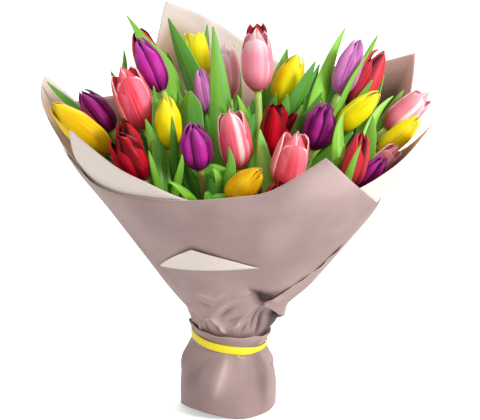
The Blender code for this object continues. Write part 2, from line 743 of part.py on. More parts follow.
def band(name, radius, thickness, low, high, finish, collection, columns=36):
    """A flat band round the waist: a turned strip."""
    rings = []
    for i in range(columns):
        turn = math.tau * i / columns
        out = Vector((math.cos(turn), math.sin(turn), 0))
        corners = ((radius, low), (radius + thickness, low), (radius + thickness, high),
                   (radius, high))
        rings.append([out * reach + Vector((0, 0, z)) for reach, z in corners])
    points, faces = loft(rings + rings[:1], closed_ends=False)
    count = len(rings) * 4
    faces = [tuple(c % count for c in face) for face in faces]
    return mesh_object(name, points[:count], faces, finish, collection)


def knot(ribbon, collection):
    """The ribbon's flat knot at the back, with its two short ends."""
    back = RIBBON_RADIUS + KNOT_OUT
    tilt, spread = KNOT_END_TILT
    side, out, height = KNOT_END_AT
    places = [((0, back, KNOT_HEIGHT), KNOT_SIZE, (0, 0, 0))]
    places += [((sign * side, back + out, height), KNOT_END_SIZE, (tilt, -sign * spread, 0))
               for sign in (-1, 1)]
    extras = []
    for at, size, turned in places:
        bpy.ops.mesh.primitive_cube_add(size=MM, location=Vector(at) * MM)
        item = bpy.context.object
        item.scale = size
        item.rotation_euler = turned
        extras.append(item)
    for item in extras:
        item.data.transform(item.matrix_basis)
        item.matrix_basis.identity()
        item.data.materials.append(material("ribbon"))
    return joined(ribbon, extras, "ribbon")


def build():
    """The bouquet, from its blooms out to its ribbon."""
    collection = start_clean()
    blooms = [bloom(*tulip, collection) for tulip in TULIPS]
    routes = stem_routes(TULIPS)
    stems = {number: stem_mesh(number, route, collection) for number, route in routes.items()}
    liner = wrap_sheet("liner_sheet", LINER_RIM, 0, "liner", collection)
    front = wrap_sheet("front_sheet", FRONT_RIM, 1, "paper", collection)
    back = wrap_sheet("back_sheet", BACK_RIM, 2, "paper", collection, BACK_HEM)
    bpy.context.view_layer.update()
    leaves = place_leaves(routes, blooms, stems, [liner, back])
    turned_corner(front, collection)
    for number, skins in leaves.items():
        mates = [b for a, b in SHARED_STEMS if a == number]
        if any(number == b for a, b in SHARED_STEMS):
            continue
        extras = [stems[b] for b in mates]
        for owner in (number, *mates):
            for points, faces in leaves[owner]:
                extras.append(mesh_object("leaf", points, faces, "leaf", collection))
        label = "_".join(f"{n:02d}" for n in (number, *mates))
        joined(stems[number], extras, f"leafy_stem_{label}")
    heights = [z for z, _, _ in SKIRT_PROFILE]
    grid = [[skirt_point(a, z) for z in heights] for a in range(0, 360, SHEET_COLUMN)]
    paper("skirt_sheet", grid, "paper", collection, closed=True)
    knot(band("ribbon", RIBBON_RADIUS - RIBBON_THICKNESS / 2, RIBBON_THICKNESS, RIBBON_LOW,
              RIBBON_HIGH, "ribbon", collection), collection)
    band("binding_band", BAND_INNER, BAND_OUTER - BAND_INNER, BAND_LOW, BAND_HIGH, "twine",
         collection, 24)


build()
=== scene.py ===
"""Tulip bouquet: fine shapes and finishes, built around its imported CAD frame.

Lengths in the tables are in millimetres and colours are sRGB, 0 to 255, as seen.
"""
import math

import bpy
import numpy as np
from bpy.props import FloatProperty, FloatVectorProperty, IntProperty, PointerProperty
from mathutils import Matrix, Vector, kdtree


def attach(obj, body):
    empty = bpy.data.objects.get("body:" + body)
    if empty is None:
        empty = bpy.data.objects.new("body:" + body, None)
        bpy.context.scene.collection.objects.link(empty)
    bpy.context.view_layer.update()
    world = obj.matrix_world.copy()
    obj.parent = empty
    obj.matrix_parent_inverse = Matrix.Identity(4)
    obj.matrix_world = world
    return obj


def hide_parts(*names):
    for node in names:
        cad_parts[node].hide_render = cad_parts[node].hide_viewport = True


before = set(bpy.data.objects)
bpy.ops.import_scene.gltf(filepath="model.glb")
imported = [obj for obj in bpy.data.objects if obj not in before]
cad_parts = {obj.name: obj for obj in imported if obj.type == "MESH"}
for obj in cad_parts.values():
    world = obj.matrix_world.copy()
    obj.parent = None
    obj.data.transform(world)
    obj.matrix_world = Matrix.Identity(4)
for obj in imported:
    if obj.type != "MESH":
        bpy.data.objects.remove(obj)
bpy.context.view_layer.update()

bl_info = {
    "name": "Tulip bouquet",
    "version": (1, 0, 0),
    "blender": (4, 5, 0),
    "location": "View3D > Sidebar > Bouquet",
    "description": "Finish the packed tulip bouquet: blooms, leafy stems, papers and ribbon",
    "category": "Object",
}

MM = 0.001
BODY = "root"

# Each tulip: number, colour, tip (x, y, z), base of the cup (x, y, z), width, how wide its mouth
# is beside its belly, how far its front petal is turned to the right, in degrees, and its tone
# between the paler (0) and the deeper (1) of its colour's two
TULIPS = (
    (1, "yellow", (-173, -23, 320), (-114, -27, 269), 30, 0.5, 28, 0.7),
    (2, "purple", (-146, 5, 326), (-115, 0, 286), 29, 0.55, -4, 0.95),
    (3, "pink", (-105, -10, 354), (-81, -16, 292), 37, 0.62, 14, 0.95),
    (4, "purple", (-90, 27, 375), (-66, 17, 322), 27, 0.42, -38, 0.35),
    (5, "red", (-92, 84, 374), (-77, 74, 321), 27, 0.65, 20, 0.8),
    (6, "red", (-102, -54, 311), (-88, -47, 263), 24, 0.6, 40, 0.9),
    (7, "red", (-106, -86, 304), (-80, -80, 257), 31, 0.68, 30, 1),
    (8, "yellow", (-60, -40, 331), (-57, -40, 278), 26, 0.42, -22, 0.2),
    (9, "yellow", (-36, 87, 370), (-32, 72, 317), 30, 0.85, 30, 0),
    (10, "violet", (-29, 28, 344), (-20, 22, 299), 22, 0.38, 56, 0.4),
    (11, "pink", (-5, 68, 362), (0, 58, 305), 26, 0.5, -34, 0.1),
    (12, "pink", (27, 32, 384), (29, 22, 321), 33, 0.52, -12, 0.4),
    (13, "red", (28, 84, 380), (31, 68, 321), 27, 0.72, 0, 0.7),
    (14, "purple", (-34, -76, 313), (-27, -69, 265), 31, 0.5, 4, 0.65),
    (15, "pink", (1, -55, 322), (11, -50, 261), 33, 0.52, -8, 0.8),
    (16, "yellow", (31, -108, 275), (0, -86, 241), 27, 0.5, 52, 1),
    (17, "yellow", (71, 55, 353), (49, 42, 302), 29, 0.48, -26, 0.1),
    (18, "red", (48, -22, 319), (42, -22, 265), 31, 0.7, -28, 1),
    (19, "pink", (66, -80, 306), (52, -72, 248), 34, 0.6, 8, 0.85),
    (20, "purple", (97, -15, 319), (82, -15, 271), 31, 0.6, 22, 0.95),
    (21, "violet", (130, 38, 372), (109, 28, 316), 27, 0.38, 48, 0.5),
    (22, "red", (157, 72, 354), (122, 52, 296), 30, 0.55, 16, 0.05),
    (23, "yellow", (150, 12, 323), (107, 8, 285), 24, 0.38, 4, 0),
    (24, "pink", (202, 45, 316), (158, 35, 279), 28, 0.55, -30, 0.5),
    (25, "yellow", (191, 14, 298), (148, 7, 261), 22, 0.42, 56, 0.35),
    (26, "red", (127, -74, 304), (115, -66, 246), 25, 0.5, 60, 0.35),
    (27, "purple", (152, -46, 272), (126, -41, 237), 22, 0.42, 10, 0.85),
    (28, "pink", (167, -20, 277), (134, -15, 238), 22, 0.5, -20, 0.7),
    (29, "red", (48, -102, 262), (38, -80, 212), 24, 0.62, 30, 0.7),
)
# Stems that touch each other at the tie and share one node
SHARED_STEMS = ((4, 5), (3, 6), (12, 13), (19, 29))

# Each leaf: tip (x, y, z), a point lower on its midrib, width, its turn about the midrib away
# from facing the front, in degrees, and how bright and how blue its green is. The brightness is
# partly painted light: leaves that lie in shadow are given brighter greens
LEAVES = (
    ((-103, 56, 391), (-46, 27, 314), 26, 12, 0.7, 0.35),
    ((-105, 40, 360), (-98, 32, 318), 9, 20, 0.5, 0.3),
    ((-62, 62, 385), (-36, 34, 318), 22, -15, 0.25, 0.45),
    ((-23, 98, 372), (-24, 84, 318), 11, 10, 0.3, 0.2),
    ((-16, 50, 381), (-10, -18, 266), 24, 5, 0.6, 0.45),
    ((-38, -3, 328), (-37, -9, 290), 23, -10, 0.4, 0.5),
    ((8, 8, 321), (26, 2, 286), 11, 30, 0.95, 0.35),
    ((56, 62, 342), (33, 28, 302), 13, -30, 0.2, 0.4),
    ((91, 48, 344), (67, 6, 292), 17, 25, 0.3, 0.6),
    ((118, 64, 376), (69, 0, 292), 19, 20, 0.8, 0.2),
    ((154, 104, 364), (126, 94, 318), 9, -10, 0.7, 0.2),
    ((151, 42, 360), (112, 18, 318), 10, 35, 0.65, 0.3),
    ((113, -21, 311), (92, -47, 274), 14, 15, 0.8, 0.05),
    ((164, 26, 316), (111, -18, 280), 15, 35, 1.0, 0.5),
    ((151, -14, 312), (142, -30, 270), 15, -20, 0.8, 0.7),
    ((178, 64, 314), (164, 56, 296), 9, 20, 0.5, 0.3),
    ((124, -96, 296), (108, -94, 260), 8, 10, 0.6, 0.05),
    ((112, -64, 286), (106, -68, 262), 9, 30, 0.8, 0.2),
    ((30, -48, 300), (34, -62, 262), 17, 15, 1.2, 0.9),
    ((0, -82, 289), (12, -96, 252), 13, -15, 0.5, 0.25),
    ((-56, -102, 262), (-24, -102, 248), 11, 60, 0.7, 0.1),
    ((-84, -26, 338), (-62, -66, 266), 15, 25, 0.25, 0.2),
    ((-75, -90, 289), (-66, -96, 262), 9, 20, 0.5, 0.1),
    ((-170, 6, 329), (-148, 4, 303), 9, 30, 0.3, 0.2),
    ((-54, -60, 316), (-48, -62, 270), 9, 10, 0.25, 0.3),
    ((-44, -84, 284), (-40, -90, 262), 8, 15, 0.55, 0.1),
    ((-22, -112, 254), (-10, -106, 244), 12, 50, 0.3, 0.4),
    ((-16, -86, 270), (8, -84, 264), 11, 62, 0.5, 0.3),
    ((-120, 62, 334), (-100, 48, 296), 16, 150, 0.5, 0.3),
    ((60, 110, 348), (50, 88, 300), 18, 170, 0.6, 0.3),
    ((-64, 104, 346), (-52, 84, 300), 17, 190, 0.4, 0.4),
    ((4, 116, 350), (6, 94, 300), 18, 180, 0.7, 0.2),
    ((110, 108, 330), (92, 88, 290), 17, 160, 0.5, 0.4),
    ((160, 96, 322), (138, 76, 286), 15, 150, 0.6, 0.2),
    ((180, 66, 302), (158, 52, 272), 13, 120, 0.5, 0.4),
)
# How far below its lower point a leaf's root lies, and how deep its blade is cupped
LEAF_ROOT_DROP = 62
LEAF_CUP = 0.38
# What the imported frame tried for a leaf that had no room: shifts sideways, narrower blades
LEAF_SHIFTS = (0, 6, -6, 12, -12, 19, -19, 27, -27)
LEAF_NARROWINGS = (1.0, 0.75, 0.5)
# Packed leaves: thickness, rows, how much of the midrib they cover, the rows that are looked
# for in the frame and how near each point has to be
CAD_LEAF_THICKNESS = 1.5
CAD_LEAF_ROWS = 6
CAD_LEAF_REACH = 0.985
CAD_SOUGHT_ROWS = (3, 5)
CAD_MATCH = 0.05
# Leaves: widths at their stations along the midrib, as packed, blunt and curled at the tip
LEAF_STATIONS = (0, 0.16, 0.34, 0.5, 0.68, 0.85, 1)
LEAF_WIDTHS = (0.3, 0.55, 0.86, 1.0, 0.9, 0.55, 0.06)
BLUNT_WIDTHS = (0.3, 0.6, 0.9, 1.05, 1.06, 0.82, 0.06)
BLUNT_LEAVES = (5, 26, 27)
CURLED_WIDTHS = (0.4, 0.8, 1.15, 1.3, 1.15, 0.4, 0.03)
CURLED_LEAVES = (0,)
# How some leaves hang clear of the blooms they pass: shift of the third control and of the tip
LEAF_NUDGES = {21: ((6.6, 8.4, -1.2), (11, 14, -2)), 4: ((9, 10, 0), (0, 0, 5))}
# Leaves that are narrower than packed
SLIM_LEAVES = {11: 0.7, 18: 0.9, 22: 0.8}
# Leaves that lie among the stems and that only the fine object has: their stem, root, middle and
# tip, width, turn, how bright and how blue
INNER_LEAVES = (
    (14, (-28, -66, 259), (-16, -64, 263), (-1, -60, 263), 13, 10, 0.5, 0.1),
    (14, (-20, -94, 236), (-11, -97, 243), (2, -96, 247), 11, 10, 0.5, 0.4),
    (16, (-38, -108, 232), (-25, -110, 240), (-7, -108, 235), 12, 0, 0.1, 0.2),
    (15, (8, -38, 262), (21, -30, 288), (25, -26, 310), 15, 20, 0.2, 0.6),
    (8, (-57, -58, 248), (-69, -52, 280), (-80, -44, 309), 15, 10, 0.5, 0.2),
    (26, (90, -60, 254), (102, -66, 267), (118, -62, 280), 13, 30, 0.45, 0.1),
    (17, (56, 24, 280), (68, 22, 312), (86, 24, 352), 17, 15, 0.3, 0.7),
    (17, (40, 10, 262), (52, 4, 296), (58, 8, 322), 16, -10, 0.45, 0.3),
    (20, (60, 8, 262), (78, 6, 292), (92, 2, 326), 15, 25, 0.2, 0.5),
    (22, (110, 20, 270), (126, 26, 300), (143, 28, 332), 14, 30, 0.4, 0.4),
    (22, (98, 30, 280), (106, 40, 316), (112, 48, 352), 13, 0, 0.25, 0.5),
    (12, (14, 8, 262), (8, 6, 288), (-2, 6, 312), 15, -15, 0.15, 0.7),
    (18, (56, -10, 262), (66, -6, 290), (72, -4, 314), 14, 10, 0.35, 0.3),
)
# How near to the wrap a leaf among the stems may reach, as a part of the wrap's size
INNER_CLEAR = 0.92

# Stems: gap below the cup, radius low down and under the cup, free space between two stems
JOINT_GAP = 0.3
STEM_RADIUS = 4.1
STEM_TOP_RADIUS = 3.5
STEM_CLEAR = 2.2
BROWN_STEM = 14
# Tie: distance between two stems, and between two that share a node, and its heights
TIE_PITCH = 9.0
TOUCH_PITCH = 6.2
TIE_LOW = 58
TIE_HIGH = 72
# Choosing the places at the tie: rings of places, how far each is drawn towards its bloom, the
# price of parting two stems that share a node, and rounds of swapping
TIE_RINGS = 4
BLOOM_DRAW = 0.16
PARTING_PRICE = 40
SWAP_ROUNDS = 12
# Cut ends: length of the straight foot, how far they fan out and how far they spiral
CUT_LENGTH = 8
FAN_AT_CUT = 1.5
SPIRAL_AT_CUT = math.radians(22)
# Routes: straight neck under the cup, distance between kept points and between tested levels,
# the highest level, rounds, and how far apart two stems may still touch
STEM_NECK_LENGTH = 14
STEM_STEP = 50
RELAX_STEP = 10
RELAX_TOP = 330
RELAX_ROUNDS = 160
NEIGHBOUR_REACH = 24
# How much of a shortfall one round makes up, between stems and beside a cup
STEM_PUSH = 0.3
CUP_PUSH = 0.6
# Free space beside a cup, and how far below and above a cup it is kept
CUP_CLEAR = 2
CUP_BELOW = 12
CUP_ABOVE = 6

# Inner sheet of the wrap: height, half-width, half-depth, shift to the right
WRAP_PROFILE = (
    (0, 32.2, 32.2, 0),
    (66, 32.2, 32.2, 0),
    (78, 32.8, 32.8, 0),
    (100, 43.5, 42, 4.5),
    (136, 73.5, 64, 9),
    (202, 124, 104, 14),
    (245, 153, 126, 13),
    (292, 180, 148, 16),
    (400, 247, 202, 18),
)
# How far each sheet lies outside the last, at two heights
LAYER_STEP = ((78, 1.7), (110, 2.5))
# The profile's bends are evened out over a span of heights: from where, how fast the span
# grows and its most
EVENED = (74, 3, 8)
SHEET_BOTTOM = 60
# Angles at which a sheet's rim has a sharp corner
WRAP_CORNERS = (-150, -67, -12, 27, 35, 111, 163)
# Rim heights of the sheets by angle round the wrap, from +X towards the back
LINER_RIM = (
    (-170, 258), (-163, 274), (-150, 307), (-145, 297), (-134, 276), (-123, 264), (-112, 252),
    (-95, 244), (-70, 242), (-46, 252), (-35, 262), (-22, 278), (-12, 306), (-2, 286), (10, 262),
    (22, 262), (27, 306), (35, 345), (43, 335), (66, 314), (90, 300), (138, 300), (160, 303),
)
FRONT_RIM = (
    (-175, 280), (-160, 254), (-143, 246), (-125, 247), (-108, 250), (-94, 255), (-82, 262),
    (-67, 295), (-56, 270), (-40, 244), (-12, 215), (0, 160),
)
BACK_RIM = (
    (-65, 124), (-59, 130), (-55, 138), (-50, 142), (-45, 148), (-38, 154), (-34, 160),
    (-31, 170), (-26, 182), (-16, 197), (-5, 215), (10, 240), (30, 262), (50, 286), (72, 311),
    (88, 337), (99, 364), (111, 385), (115.5, 349), (134, 295), (150, 290), (163, 332),
    (174, 314), (182, 298), (188, 284), (193, 268), (198, 240), (204, 200), (214, 158),
)
BACK_HEM = ((-65, 122), (-48, 112), (-30, 103), (-12, 97), (4, 90), (14, SHEET_BOTTOM))
# How far the back sheet's left end runs round to the front, in degrees, by height, and over how
# many degrees it eases in
BACK_END = ((88, 12), (116, 6), (160, -2))
END_REACH = 22
# Where the back sheet's free edge stands off the sheet beneath: height and half-height
RIGHT_GAPS = ((175, 5), (161, 4), (148, 3), (138, 4))
# How far the sheets flare out at the left rim: angle, half-width in degrees, depth
LEFT_FLARE = (180, 14, 6.5)
# The front sheet's lower corner, turned up: angle and height of its three points
TURNED_CORNER = ((-144, 162), (-80, 172.6), (-113, 193.5))
# By layer, from the inner sheet: degrees between columns, rows, how dark it is below its rim
SHEET_SPACING = (1.6, 1.1, 1.1)
SHEET_ROWS = (96, 120, 120)
DEPTH_SHADE = (6.0, 1.5, 1.5)
DEPTH_REACH = 45
# The wrap unrolled: height where its cone would end, its height beside its slant, and degrees on
# the flat sheet for each degree round the wrap
CONE_FOOT = 20.6
CONE_RISE = 0.839
CONE_TURN = 0.545
# Creases of the gathered paper above the tie: angle and height of the two ends, depth, width
CREASES = (
    (-146, 118, -130, 103, 2.6, 2.4),
    (-141, 112, -133, 99, -2.6, 2.2),
    (-133, 102, -116, 104, 3.0, 1.8),
    (-134, 101, -139, 84, 2.2, 1.8),
    (-128, 99, -124, 86, -2.2, 2.2),
    (-116, 104, -110, 99, 3.0, 1.7),
    (-110, 99, -98, 88, 3.2, 1.8),
    (-113, 97, -104, 88, -2.4, 2.0),
    (-116, 105, -96, 128, 3.0, 2.8),
    (-108, 106, -92, 122, -2.4, 3.4),
    (-125, 139, -108, 130, 2.0, 3.0),
    (-108, 130, -97, 142, 1.6, 3.2),
    (-127, 126, -112, 118, -2.0, 3.6),
    (-101, 100, -80, 108, -2.0, 3.0),
    (-96, 93, -78, 101, 2.2, 2.4),
    (-84, 104, -72, 118, 2.0, 2.6),
    (-76, 142, -63, 125, -6.0, 5.0),
    (-84, 147, -74, 137, -3.0, 3.0),
    (-92, 136, -80, 141, 2.0, 2.6),
    (-88, 90, -84, 104, 1.6, 2.2),
    (-78, 88, -74, 100, -1.8, 2.2),
    (-66, 92, -64, 116, -2.4, 2.8),
    (-54, 112, -50, 84, -3.4, 3.6),
    (-156, 90, -142, 112, 2.0, 2.6),
)
# The gathered paper bulges a little over the skirt's edge: height, half-height, depth
WAIST_BULGE = (95, 8, 1.8)
# The gathered paper is drawn in at the right: height, half-height, depth
WAIST_TUCK = (111, 17, 8.0)
# Radius at which creases are laid out, and how much deeper they are than their table says
CREASE_RADIUS = 45
CREASE_DEPTH = 1.7
# Rows of a sheet lie closer together low down, where it is creased
ROW_EASE = 1.8
# The fold down the peak of the back sheet: angle, half-width in degrees, depth
PEAK_FOLD = (100.5, 2.2, 3.5)
# Painted light (+) and painted shade (-) on each sheet, outer side and inner side, where light
# falls on it, where flaps and pockets shade it and inside the wrap: angle, height, half-angle,
# half-height, how much
PAPER_PAINTED_LIGHT = {
    "liner": ((), ((155, 298, 20, 30, -4.0),)),
    "front": (((-60, 270, 16, 28, 2.4), (-76, 205, 14, 36, 1.3), (-102, 225, 15, 36, -1.2),
               (-63, 131, 7, 8, -6.0), (-20, 98, 18, 20, -11.0)),
              ((-165, 265, 22, 30, -2.6),)),
    "back": (((-58, 128, 8, 8, 1.8), (-22, 150, 10, 40, 1.2)),
             ((111.5, 324, 8, 32, -3.2), (176, 300, 14, 50, -2.2))),
}
# Paper tones: a darker and a lighter tone of the mauve side, of the liner's inner side and of the
# pale side, and the dark of deep folds. The darker tones also colour the ribs and fibres and the
# lighter ones the clouds; through the fold attribute they are painted shade and painted light.
# The pale side's painted shade is tan on the back sheet, and the dark is painted shade deep in
# folds and pockets
MAUVE_TONES = ((118, 94, 91), (204, 178, 173))
LIT_INSIDE_TONES = ((172, 130, 116), (226, 188, 175))
PALE_TONES = ((200, 184, 174), (236, 227, 220))
BACK_PALE_TONES = ((168, 124, 76), (236, 227, 220))
FOLD_PAINTED_SHADE = (58, 42, 38)
# Skirt sheet: height, half-width, half-depth
SKIRT_PROFILE = ((0, 48.4, 51), (29, 48.4, 51), (47, 46.3, 47), (58, 41, 41), (66, 37.3, 37.3),
                 (74, 37.3, 37.3), (80, 40, 40))
# Skirt's foot: how far it swings round and shifts to the left, from what height and over what
SKIRT_SWING = 0.2
SKIRT_SHIFT = -1.2
SKIRT_FOOT = (58, 29)
# Skirt sheet: length of its pattern round the stems, in metres, and its faces
SKIRT_GIRTH = 0.308
SKIRT_COLUMNS = 180
SKIRT_ROWS = 48
# Creases of the skirt: angle and height of the two ends, depth, width
SKIRT_CREASES = (
    (-94, 66, -106, 24, 3.0, 9),
    (-120, 62, -148, 30, -1.6, 12),
    (-62, 64, -70, 30, -1.6, 8),
    (-44, 60, -38, 4, 1.8, 9),
    (-16, 46, 10, 38, -2.8, 8),
    (-24, 58, -8, 54, 1.6, 5),
    (-172, 64, -170, 40, 1.6, 9),
    (40, 8, 34, 60, 1.4, 7),
    (75, 4, 84, 60, -1.6, 7),
    (112, 6, 104, 60, 1.6, 7),
    (146, 4, 140, 58, -1.4, 8),
)
# Painted light (+) and painted shade (-) on the skirt, as for the other sheets
SKIRT_PAINTED_LIGHT = ((-88, 40, 20, 26, 1.2), (-44, 44, 13, 40, -2.9), (-135, 45, 18, 30, -0.8))
# Heights of the skirt's foot and of its upper edge, by angle from the left round the front
SKIRT_LOWS = ((-180, 2), (-165, 6.5), (-151, 8.6), (-131, 8.8), (-110, 6), (-96, 3.2), (-80, 0.8),
              (-70, 0), (160, 0), (180, 2))
SKIRT_TOPS = ((-180, 88), (-158, 91), (-138, 88.5), (-117, 86.5), (-90, 85), (-50, 83), (-20, 79),
              (30, 79), (90, 81), (180, 88))
# How far the skirt's upper edge stands out, by angle
SKIRT_EDGE = ((-180, 0.1), (-140, 0.15), (-100, 0.5), (180, 0.3))
# Ribbon: radius, middle height, width, how far the knot stands behind it
RIBBON_RADIUS = 38.4
RIBBON_HEIGHT = 70
RIBBON_WIDTH = 8.2
KNOT_BEHIND = 2.2
# The loose thread under the ribbon: its line and radii
WISP_LINE = ((8, -39.2, 67), (9.5, -41.0, 65), (11.5, -42.0, 63.4), (14, -42.2, 63.2),
             (16.5, -41.8, 64.2))
WISP_RADII = (0.35, 0.35, 0.3, 0.3, 0.15)
# How far the ribbon rides up at the left and down at the right, and its mean
TIE_TILT = (9.1, -2.5, 1.65)

# Petals: height of the tip beside the cup's, by whorl and by petal from the front one on
PETAL_HEIGHTS = {
    "yellow": ((0.97, 0.98, 1.0), (1.0, 0.96, 0.97)),
    "purple": ((0.95, 0.98, 1.0), (0.99, 1.0, 0.96)),
    "violet": ((1.0, 0.98, 0.97), (0.98, 0.97, 0.98)),
    "red": ((0.97, 1.0, 0.97), (0.99, 1.0, 0.97)),
    "pink": ((0.84, 0.94, 0.92), (0.98, 1.0, 0.99)),
}
# Petals: half-width in degrees, how far the edges are tucked in, how blunt the tip is (less is
# blunter), the part of the height where it begins to narrow, the inner whorl's inset, and how
# far one edge stands over the next petal
PETAL_FORMS = {
    "yellow": (60, 0.1, 0.6, 0.6, 1.0, 1.0),
    "purple": (44, 0.24, 0.55, 0.56, 0.3, 1.9),
    "violet": (59, 0.26, 0.6, 0.55, 1.2, 1.2),
    "red": (54, 0.14, 0.66, 0.56, 0.8, 1.2),
    "pink": (58, 0.08, 0.32, 0.7, 0.9, 1.1),
}
# Pink front petals with a painted highlight: a line of the edge colour down their right side; the
# tulip, how strong it is
HIGHLIGHT_STRIPES = {12: 0.3, 15: 1.0, 24: 1.0, 28: 0.5}
# Petals that curl open on the right: the tulip, whorl and petal, how far its tip stands out
LOOSE_PETALS = {(7, 1, 0): 7.0, (18, 0, 1): 8.5}
# Front petals that are as tall as the rest
TALL_FRONTS = {15: 0.97}
# How full a closed cup is at 0.8 and 0.92 of its height
DOME = (0.68, 0.42)
ROUND_DOME = {"pink": (0.86, 0.62), "red": (0.76, 0.5)}
# How wide a closed cup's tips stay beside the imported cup's mouth, and those of the inner whorl
# and of the blooms that stand open
TIP_CLOSING = {"pink": 0.14, "red": 0.26, "yellow": 0.3, "purple": 0.26, "violet": 0.2}
INNER_CLOSING = 0.03
OPEN_CLOSING = 0.72
OPEN_BLOOMS = (9, 13, 18)
# The inner whorl: how much wider and blunter it is, and how much slimmer towards the tip
INNER_WIDER = 1.12
INNER_BLUNTER = 0.6
INNER_TAPER = 0.5
# Where petals begin in the cup
PETAL_BASE_HEIGHT = 0.02
# Outline of a petal: its spread at heights along it
PETAL_SPREAD = ((0, 0.12, 0.3, 0.5, 0.8), (0.6, 0.85, 1.0, 1.02, 1.0))
# Petal colours: deeper body; deep, for random patches and for painted shade; light, for streaks
# that are partly painted sheen and for the painted highlight; edge and foot; strength of the
# edge;
# the painted shade where a petal comes out from under the next: how dark, from where and to where
# across; strength of the painted highlight near the outer edge; roughness and shine
PETAL_LOOKS = {
    "yellow": ((248, 172, 0), (178, 138, 0), (255, 246, 30), (255, 250, 110), (186, 150, 0),
               0.35, (0.35, 0.02, 0.36), 0.2, (0.36, 0.14)),
    "purple": ((96, 4, 76), (34, 0, 30), (222, 58, 184), (230, 112, 214), (70, 4, 66),
               0.5, (0.95, 0.2, 0.66), 0.55, (0.38, 0.12)),
    "violet": ((188, 84, 172), (104, 22, 100), (244, 176, 228), (246, 196, 236), (176, 96, 164),
               0.4, (0.7, 0.0, 0.34), 0.35, (0.34, 0.22)),
    "red": ((128, 0, 14), (40, 0, 8), (230, 20, 48), (220, 62, 76), (84, 0, 16),
            0.12, (0.95, 0.16, 0.66), 0.6, (0.36, 0.1)),
    "pink": ((246, 18, 50), (214, 16, 50), (255, 142, 168), (255, 244, 244), (220, 60, 90),
             1.0, (0.6, 0.0, 0.34), 0.5, (0.34, 0.2)),
}
# Radius of a cup beside its widest, packed and closed: heights, and radii up to its shoulder
PACKED_CUP = ((0, 0.1, 0.25, 0.42, 0.62, 0.82, 1), (0.26, 0.66, 0.95, 1.0))
CLOSED_CUP = ((0, 0.06, 0.14, 0.27, 0.42, 0.62, 0.8, 0.92, 1), (0.24, 0.52, 0.78, 0.97, 1.0))
# Inside a cup: stamens, each a line of heights (parts of the cup's length) and reaches from its
# middle, with its radii, and the pistil's radii
STAMENS = 6
STAMEN_LINE = ((0.06, 2.4), (0.2, 4.0), (0.22, 4.2), (0.28, 4.5), (0.38, 4.7), (0.4, 4.7))
STAMEN_RADII = (0.6, 0.45, 1.1, 1.3, 1.0, 0.2)
PISTIL_RADII = (1.8, 2.1, 1.6, 2.4, 1.0)
# Cups narrower at the mouth than this hide what is inside them
HIDDEN_MOUTH = 0.45

# Seeds of the random draws
BLOOM_SEED = 100
LEAF_SEED = 500
INNER_LEAF_SEED = 900
CREASE_SEED = 7
SCATTERED_CREASES = 16

# Stage, in metres: what the camera looks at; each lamp's name, place, size and part of the power
TARGET = (0.011, 0, 0.205)
LAMPS = (("key", (2.2, -1.6, 1.5), 0.8, 1.0), ("fill", (-2.0, -1.3, 1.2), 1.8, 0.07),
         ("back", (0.6, 1.8, 2.1), 1.4, 0.5))
FLOOR_SIZE = 14
SENSOR_WIDTH = 36


def linear(seen):
    """A colour as seen, 0 to 255, as the linear values that Blender's sockets take."""
    return tuple(((c / 255 + 0.055) / 1.055) ** 2.4 if c > 10 else c / 255 / 12.92 for c in seen)


def colour_setting(name, description, seen):
    return FloatVectorProperty(name=name, description=description, default=linear(seen),
                               subtype="COLOR", min=0, max=1)


def length_setting(name, description, millimetres):
    return FloatProperty(name=name, description=description, default=millimetres * MM, min=0,
                         unit="LENGTH", subtype="DISTANCE")


def count_setting(name, description, default, least, most):
    return IntProperty(name=name, description=description, default=default, min=least, max=most)


# Shader building
class Wire:
    """A socket that works in Python sums: each sum adds its Math node."""

    def __init__(self, finish, socket):
        self.finish, self.socket = finish, socket

    def math(self, operation, *values):
        return self.finish.node("ShaderNodeMath", {"operation": operation},
                                dict(enumerate((self, *values))))

    def __add__(self, other):
        return self.math("ADD", other)

    def __sub__(self, other):
        return self.math("SUBTRACT", other)

    def __rsub__(self, other):
        return self.finish.node("ShaderNodeMath", {"operation": "SUBTRACT"}, {0: other, 1: self})

    def __mul__(self, other):
        return self.math("MULTIPLY", other)

    def __abs__(self):
        return self.math("ABSOLUTE")


